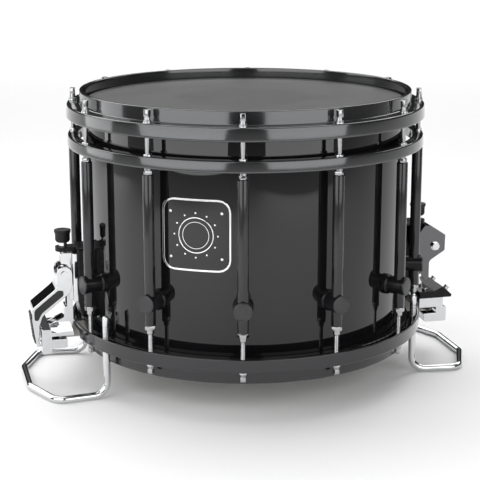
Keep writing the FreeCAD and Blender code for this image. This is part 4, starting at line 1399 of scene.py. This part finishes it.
@dataclass
class ThrowOff(Assembly):
    """Throw-off strainer with its hooded lever."""

    screw_y: float = 0.021
    grip_ridges: int = 8
    grip_ridge: float = 0.0008
    grip_half: float = 0.0135
    grip_top: tuple[float, float] = (0.2476, 0.078)
    grip_foot: tuple[float, float] = (0.2440, 0.046)
    grip_half_depth: float = 0.0008
    # The black plates on the lever's cheeks are a painted dark reflection, not enamel.
    cheek: float = 0.0168
    painted_reflection_thickness: float = 0.0004
    painted_reflection_sunk: float = 0.0001
    painted_reflection_corners: tuple[Corner, ...] = (
        (0.2125, 0.1058, 0.001), (0.2178, 0.1068, 0.002), (0.2452, 0.0852, 0.003), (0.2452, 0.0735, 0.002),
        (0.2408, 0.0735, 0.001), (0.2372, 0.0812, 0.003), (0.2120, 0.1006, 0.002),
    )
    screw_head: float = 0.0038
    screw_socket: tuple[float, float] = (0.0030, 0.0014)

    def build(self) -> None:
        """Ease the castings, and build the screws and the lever's grip."""
        drum, slide, carriage = Body.DRUM, Body.THROW_SLIDE, Body.THROW_CARRIAGE
        self.eased_copy("throw_base", BLACK_CASTING, Slot.CASTING, drum, 0.0005)
        self.eased_copy("throw_face_plate", CHROME, Slot.CHROME, drum, 0.0003)
        self.eased_copy("throw_slide", CHROME, Slot.CHROME, slide, 0.0003)
        self.eased_copy("throw_lever", CHROME, Slot.CHROME, Body.THROW_LEVER, 0.0004)
        self.eased_copy("throw_carriage", CHROME, Slot.CHROME, carriage, 0.0003)
        self.eased_copy("throw_clamp_plate", CHROME, Slot.CHROME, carriage, 0.0003)
        self.dress_node("throw_pivot_pin", CHROME)
        self.dress_node("throw_cam_pins", THREAD_STEEL)
        self.dress_node("throw_spindle", CHROME)
        self.build_screws()
        self.build_grip()
        self.build_painted_reflections()

    def build_painted_reflections(self) -> None:
        """Black plates on the lever's two cheeks: a painted dark reflection, of the kind that the cheeks'
        turned faces show.
        """
        plates = []
        for side in (-1, 1):
            plate = Bench.raised(Bench.section(self.painted_reflection_corners), (0, side * self.painted_reflection_thickness, 0))
            Bench.move(plate, Matrix.Translation((0, side * (self.cheek - self.painted_reflection_sunk), 0)))
            bmesh.ops.recalc_face_normals(plate, faces=plate.faces[:])
            plates.append(plate)
        whole = Bench.move(Bench.merged(plates), Matrix.Rotation(math.pi, 4, "Z"))
        self.piece(whole, "lever_cheek_painted_reflections", BADGE_ENAMEL_AND_LEVER_REFLECTION, Slot.KNOB, Body.THROW_LEVER)

    def build_grip(self) -> None:
        """Ridged rubber pad on the outside of the lever's tip."""
        top, foot = Vector(self.grip_top), Vector(self.grip_foot)
        along = foot - top
        away = Vector((-along.y, along.x)).normalized()
        steps = self.grip_ridges * 4
        points = [top - away * self.grip_half_depth]
        for step in range(steps + 1):
            lift = self.grip_ridge * (1 - math.cos(math.tau * step / 4)) / 2 + self.grip_half_depth
            points.append(top + along * step / steps + away * lift)
        points.append(foot - away * self.grip_half_depth)
        bm = Bench.section([(point.x, point.y, 0) for point in points])
        Bench.raised(bm, (0, 2 * self.grip_half, 0))
        bmesh.ops.recalc_face_normals(bm, faces=bm.faces[:])
        Bench.move(bm, Matrix.Translation((0, -self.grip_half, 0)))
        Bench.move(bm, Matrix.Rotation(math.pi, 4, "Z"))
        self.piece(bm, "lever_grip_pad", RUBBER, Slot.KNOB, Body.THROW_LEVER, (), 60.0)

    def build_screws(self) -> None:
        """Socket screws that clamp the snares."""
        low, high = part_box("throw_clamp_screws")
        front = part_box("throw_carriage")[0].x
        screws = []
        for side in (-1, 1):
            head = Bench.socket_head(self.screw_head, front - low.x, *self.screw_socket)
            Bench.move(head, Matrix.Rotation(math.radians(-90), 4, "Y"))
            Bench.move(head, Matrix.Translation((front, side * self.screw_y, (low.z + high.z) / 2)))
            screws.append(head)
        self.piece(Bench.merged(screws), "throw_clamp_socket_screws", CHROME, Slot.CHROME,
                   Body.THROW_CARRIAGE, ("throw_clamp_screws",))


@dataclass
class ButtStrainer(Assembly):
    """Butt strainer with its hooded bracket and flared foot."""

    def build(self) -> None:
        """Ease the castings and dress the fasteners."""
        drum, slide = Body.DRUM, Body.BUTT_SLIDE
        self.eased_copy("butt_base", BLACK_CASTING, Slot.CASTING, drum, 0.0005)
        self.eased_copy("butt_face_plate", CHROME, Slot.CHROME, drum, 0.0003)
        self.eased_copy("butt_slide", CHROME, Slot.CHROME, slide, 0.0003)
        # The bracket is chrome; its dark plate is a painted dark reflection.
        self.eased_copy("butt_bracket", CHROME_PAINTED_DARK_REFLECTION, Slot.CHROME, slide, 0.0004)
        self.eased_copy("butt_carriage", BLACK_CASTING, Slot.CASTING, slide, 0.0004)
        self.eased_copy("butt_clamp_plate", CHROME, Slot.CHROME, slide, 0.0003)
        self.dress_node("butt_bracket_bolt", CHROME)
        self.dress_node("butt_clamp_screws", THREAD_STEEL)
        self.dress_node("butt_spindle", CHROME)


@dataclass
class Snares(Assembly):
    """Gut strands and the bars that space them."""

    count: int = 18
    pitch: float = 0.0032
    radius: float = 0.0006
    lengths: int = 12

    def build(self) -> None:
        """Build the strands one beside the other."""
        low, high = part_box("snare_strands")
        middle = (low.z + high.z) / 2
        cords = []
        side = [(self.radius, low.x + (high.x - low.x) * step / self.lengths, 0)
                for step in range(1, self.lengths)]
        for index in range(self.count):
            cord = Bench.turned([
                (0, low.x, 0), (self.radius, low.x, 0.0002), *side,
                (self.radius, high.x, 0.0002), (0, high.x, 0),
            ], 10)
            Bench.move(cord, Matrix.Rotation(math.radians(90), 4, "Y"))
            offset = (index - (self.count - 1) / 2) * self.pitch
            cords.append(Bench.move(cord, Matrix.Translation((0, offset, middle))))
        self.piece(Bench.merged(cords), "gut_cords", GUT_CORD, Slot.GUT, Body.SNARES, ("snare_strands",))
        self.dress_node("strand_bars", NYLON)


@dataclass
class Studio:
    """Floor, soft lights, pale surroundings and the camera."""

    camera_angle: float = 255.7
    camera_distance: float = 1.5904
    camera_height: float = 0.5311
    pitch: float = 13.52
    lens: float = 106.92
    shift: tuple[float, float] = (-0.0113, -0.0025)
    floor_size: float = 30.0
    glow: float = 0.3
    lit_point: Vector = field(default_factory=lambda: Vector((0, 0, 0.18)))

    def build(self) -> None:
        """Set the stage."""
        self.build_floor()
        self.build_world()
        self.build_lights()
        self.build_camera()

    def build_floor(self) -> None:
        """Lay a plain pale floor under the guards."""
        bm = bmesh.new()
        bmesh.ops.create_grid(bm, x_segments=1, y_segments=1, size=self.floor_size / 2)
        mesh = bpy.data.meshes.new("studio_floor")
        bm.to_mesh(mesh)
        bm.free()
        mesh.materials.append(FLOOR_PAINT.material())
        floor = bpy.data.objects.new("studio_floor", mesh)
        bpy.context.scene.collection.objects.link(floor)

    def build_world(self) -> None:
        """Surround the stage with a dim glow that has a dark band just above the horizon."""
        world = bpy.data.worlds.new("studio_glow")
        world.use_nodes = True
        tree = world.node_tree
        background = tree.nodes["Background"]
        source = tree.nodes.new("ShaderNodeTexCoord")
        split = tree.nodes.new("ShaderNodeSeparateXYZ")
        ramp = tree.nodes.new("ShaderNodeValToRGB")
        shift = tree.nodes.new("ShaderNodeMapRange")
        shift.inputs["From Min"].default_value = -1.0
        tree.links.new(source.outputs["Generated"], split.inputs["Vector"])
        tree.links.new(split.outputs["Z"], shift.inputs["Value"])
        tree.links.new(shift.outputs["Result"], ramp.inputs["Fac"])
        stops = ((0.0, 0.4), (0.49, 0.4), (0.51, 0.03), (0.60, 0.05), (0.68, 0.5), (1.0, 0.6))
        elements = ramp.color_ramp.elements
        elements[0].position, elements[1].position = stops[0][0], stops[-1][0]
        for place, _ in stops[1:-1]:
            elements.new(place)
        for element, (_, level) in zip(sorted(elements, key=lambda e: e.position), stops):
            element.color = (level, level, level, 1.0)
        tree.links.new(ramp.outputs["Color"], background.inputs["Color"])
        background.inputs["Strength"].default_value = self.glow
        bpy.context.scene.world = world
        bpy.context.scene.view_settings.view_transform = "Standard"

    def lamp(self, name: str, angle: float, distance: float, height: float, size: tuple[float, float],
             power: float, down: bool = False) -> None:
        """Hang a soft rectangular lamp that faces the drum or the floor.

        Args:
            name: lamp's name.
            angle: its direction from the drum, in degrees from +X.
            distance: how far it stands from the drum's axis.
            height: its height.
            size: its width and height.
            power: its power in watts.
            down: whether it faces straight down.
        """
        data = bpy.data.lights.new(name, "AREA")
        data.shape = "RECTANGLE"
        data.size, data.size_y = size
        data.energy = power
        lamp = bpy.data.objects.new(name, data)
        turn = math.radians(angle)
        place = Vector((distance * math.cos(turn), distance * math.sin(turn), height))
        lamp.location = place
        at_drum = (self.lit_point - place).to_track_quat("-Z", "Y").to_euler()
        lamp.rotation_euler = (0, 0, turn + math.pi / 2) if down else at_drum
        bpy.context.scene.collection.objects.link(lamp)

    def build_lights(self) -> None:
        """Hang an overhead panel, a panel over the far floor, and upright panels in front and at the side."""
        facing = self.camera_angle
        self.lamp("overhead_panel", facing + 180, 0.4, 1.8, (2.2, 1.6), 17.0)
        self.lamp("far_floor_panel", facing + 180, 6.0, 4.5, (14.0, 7.0), 750.0, down=True)
        self.lamp("left_panel", facing - 100, 1.4, 0.75, (0.8, 1.5), 8.0)
        self.lamp("front_left_panel", facing - 37, 1.05, 0.57, (1.15, 0.95), 8.5)
        self.lamp("front_right_panel", facing + 37, 1.5, 0.62, (1.45, 1.1), 12.0)

    def build_camera(self) -> None:
        """Place the camera in front of the badge side, a little above the drum."""
        data = bpy.data.cameras.new("portrait_camera")
        data.sensor_width = 36.0
        data.lens = self.lens
        data.shift_x, data.shift_y = self.shift
        data.clip_start, data.clip_end = 0.05, 100.0
        camera = bpy.data.objects.new("portrait_camera", data)
        turn = math.radians(self.camera_angle)
        camera.location = (self.camera_distance * math.cos(turn), self.camera_distance * math.sin(turn),
                           self.camera_height)
        camera.rotation_euler = (math.radians(90 - self.pitch), 0, turn + math.pi / 2)
        bpy.context.scene.collection.objects.link(camera)
        bpy.context.scene.camera = camera


def main() -> None:
    """Build the drum's assemblies in order, then the studio, and log how many pieces each assembly made."""
    logging.basicConfig(level=logging.INFO, format="%(name)s: %(message)s")
    assemblies = (
        Shell(), Badge(), Heads(), Rims(), TensionRods(), TubeLugs(), Guards(), ThrowOff(), ButtStrainer(),
        Knob(), Knob(node="butt_knob", body=Body.BUTT_KNOB), Snares(),
    )
    for assembly in assemblies:
        assembly.build()
        LOG.info("%s: %d new pieces", type(assembly).__name__, len(assembly.made))
    Studio().build()


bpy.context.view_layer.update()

if __name__ == "__main__":
    main()
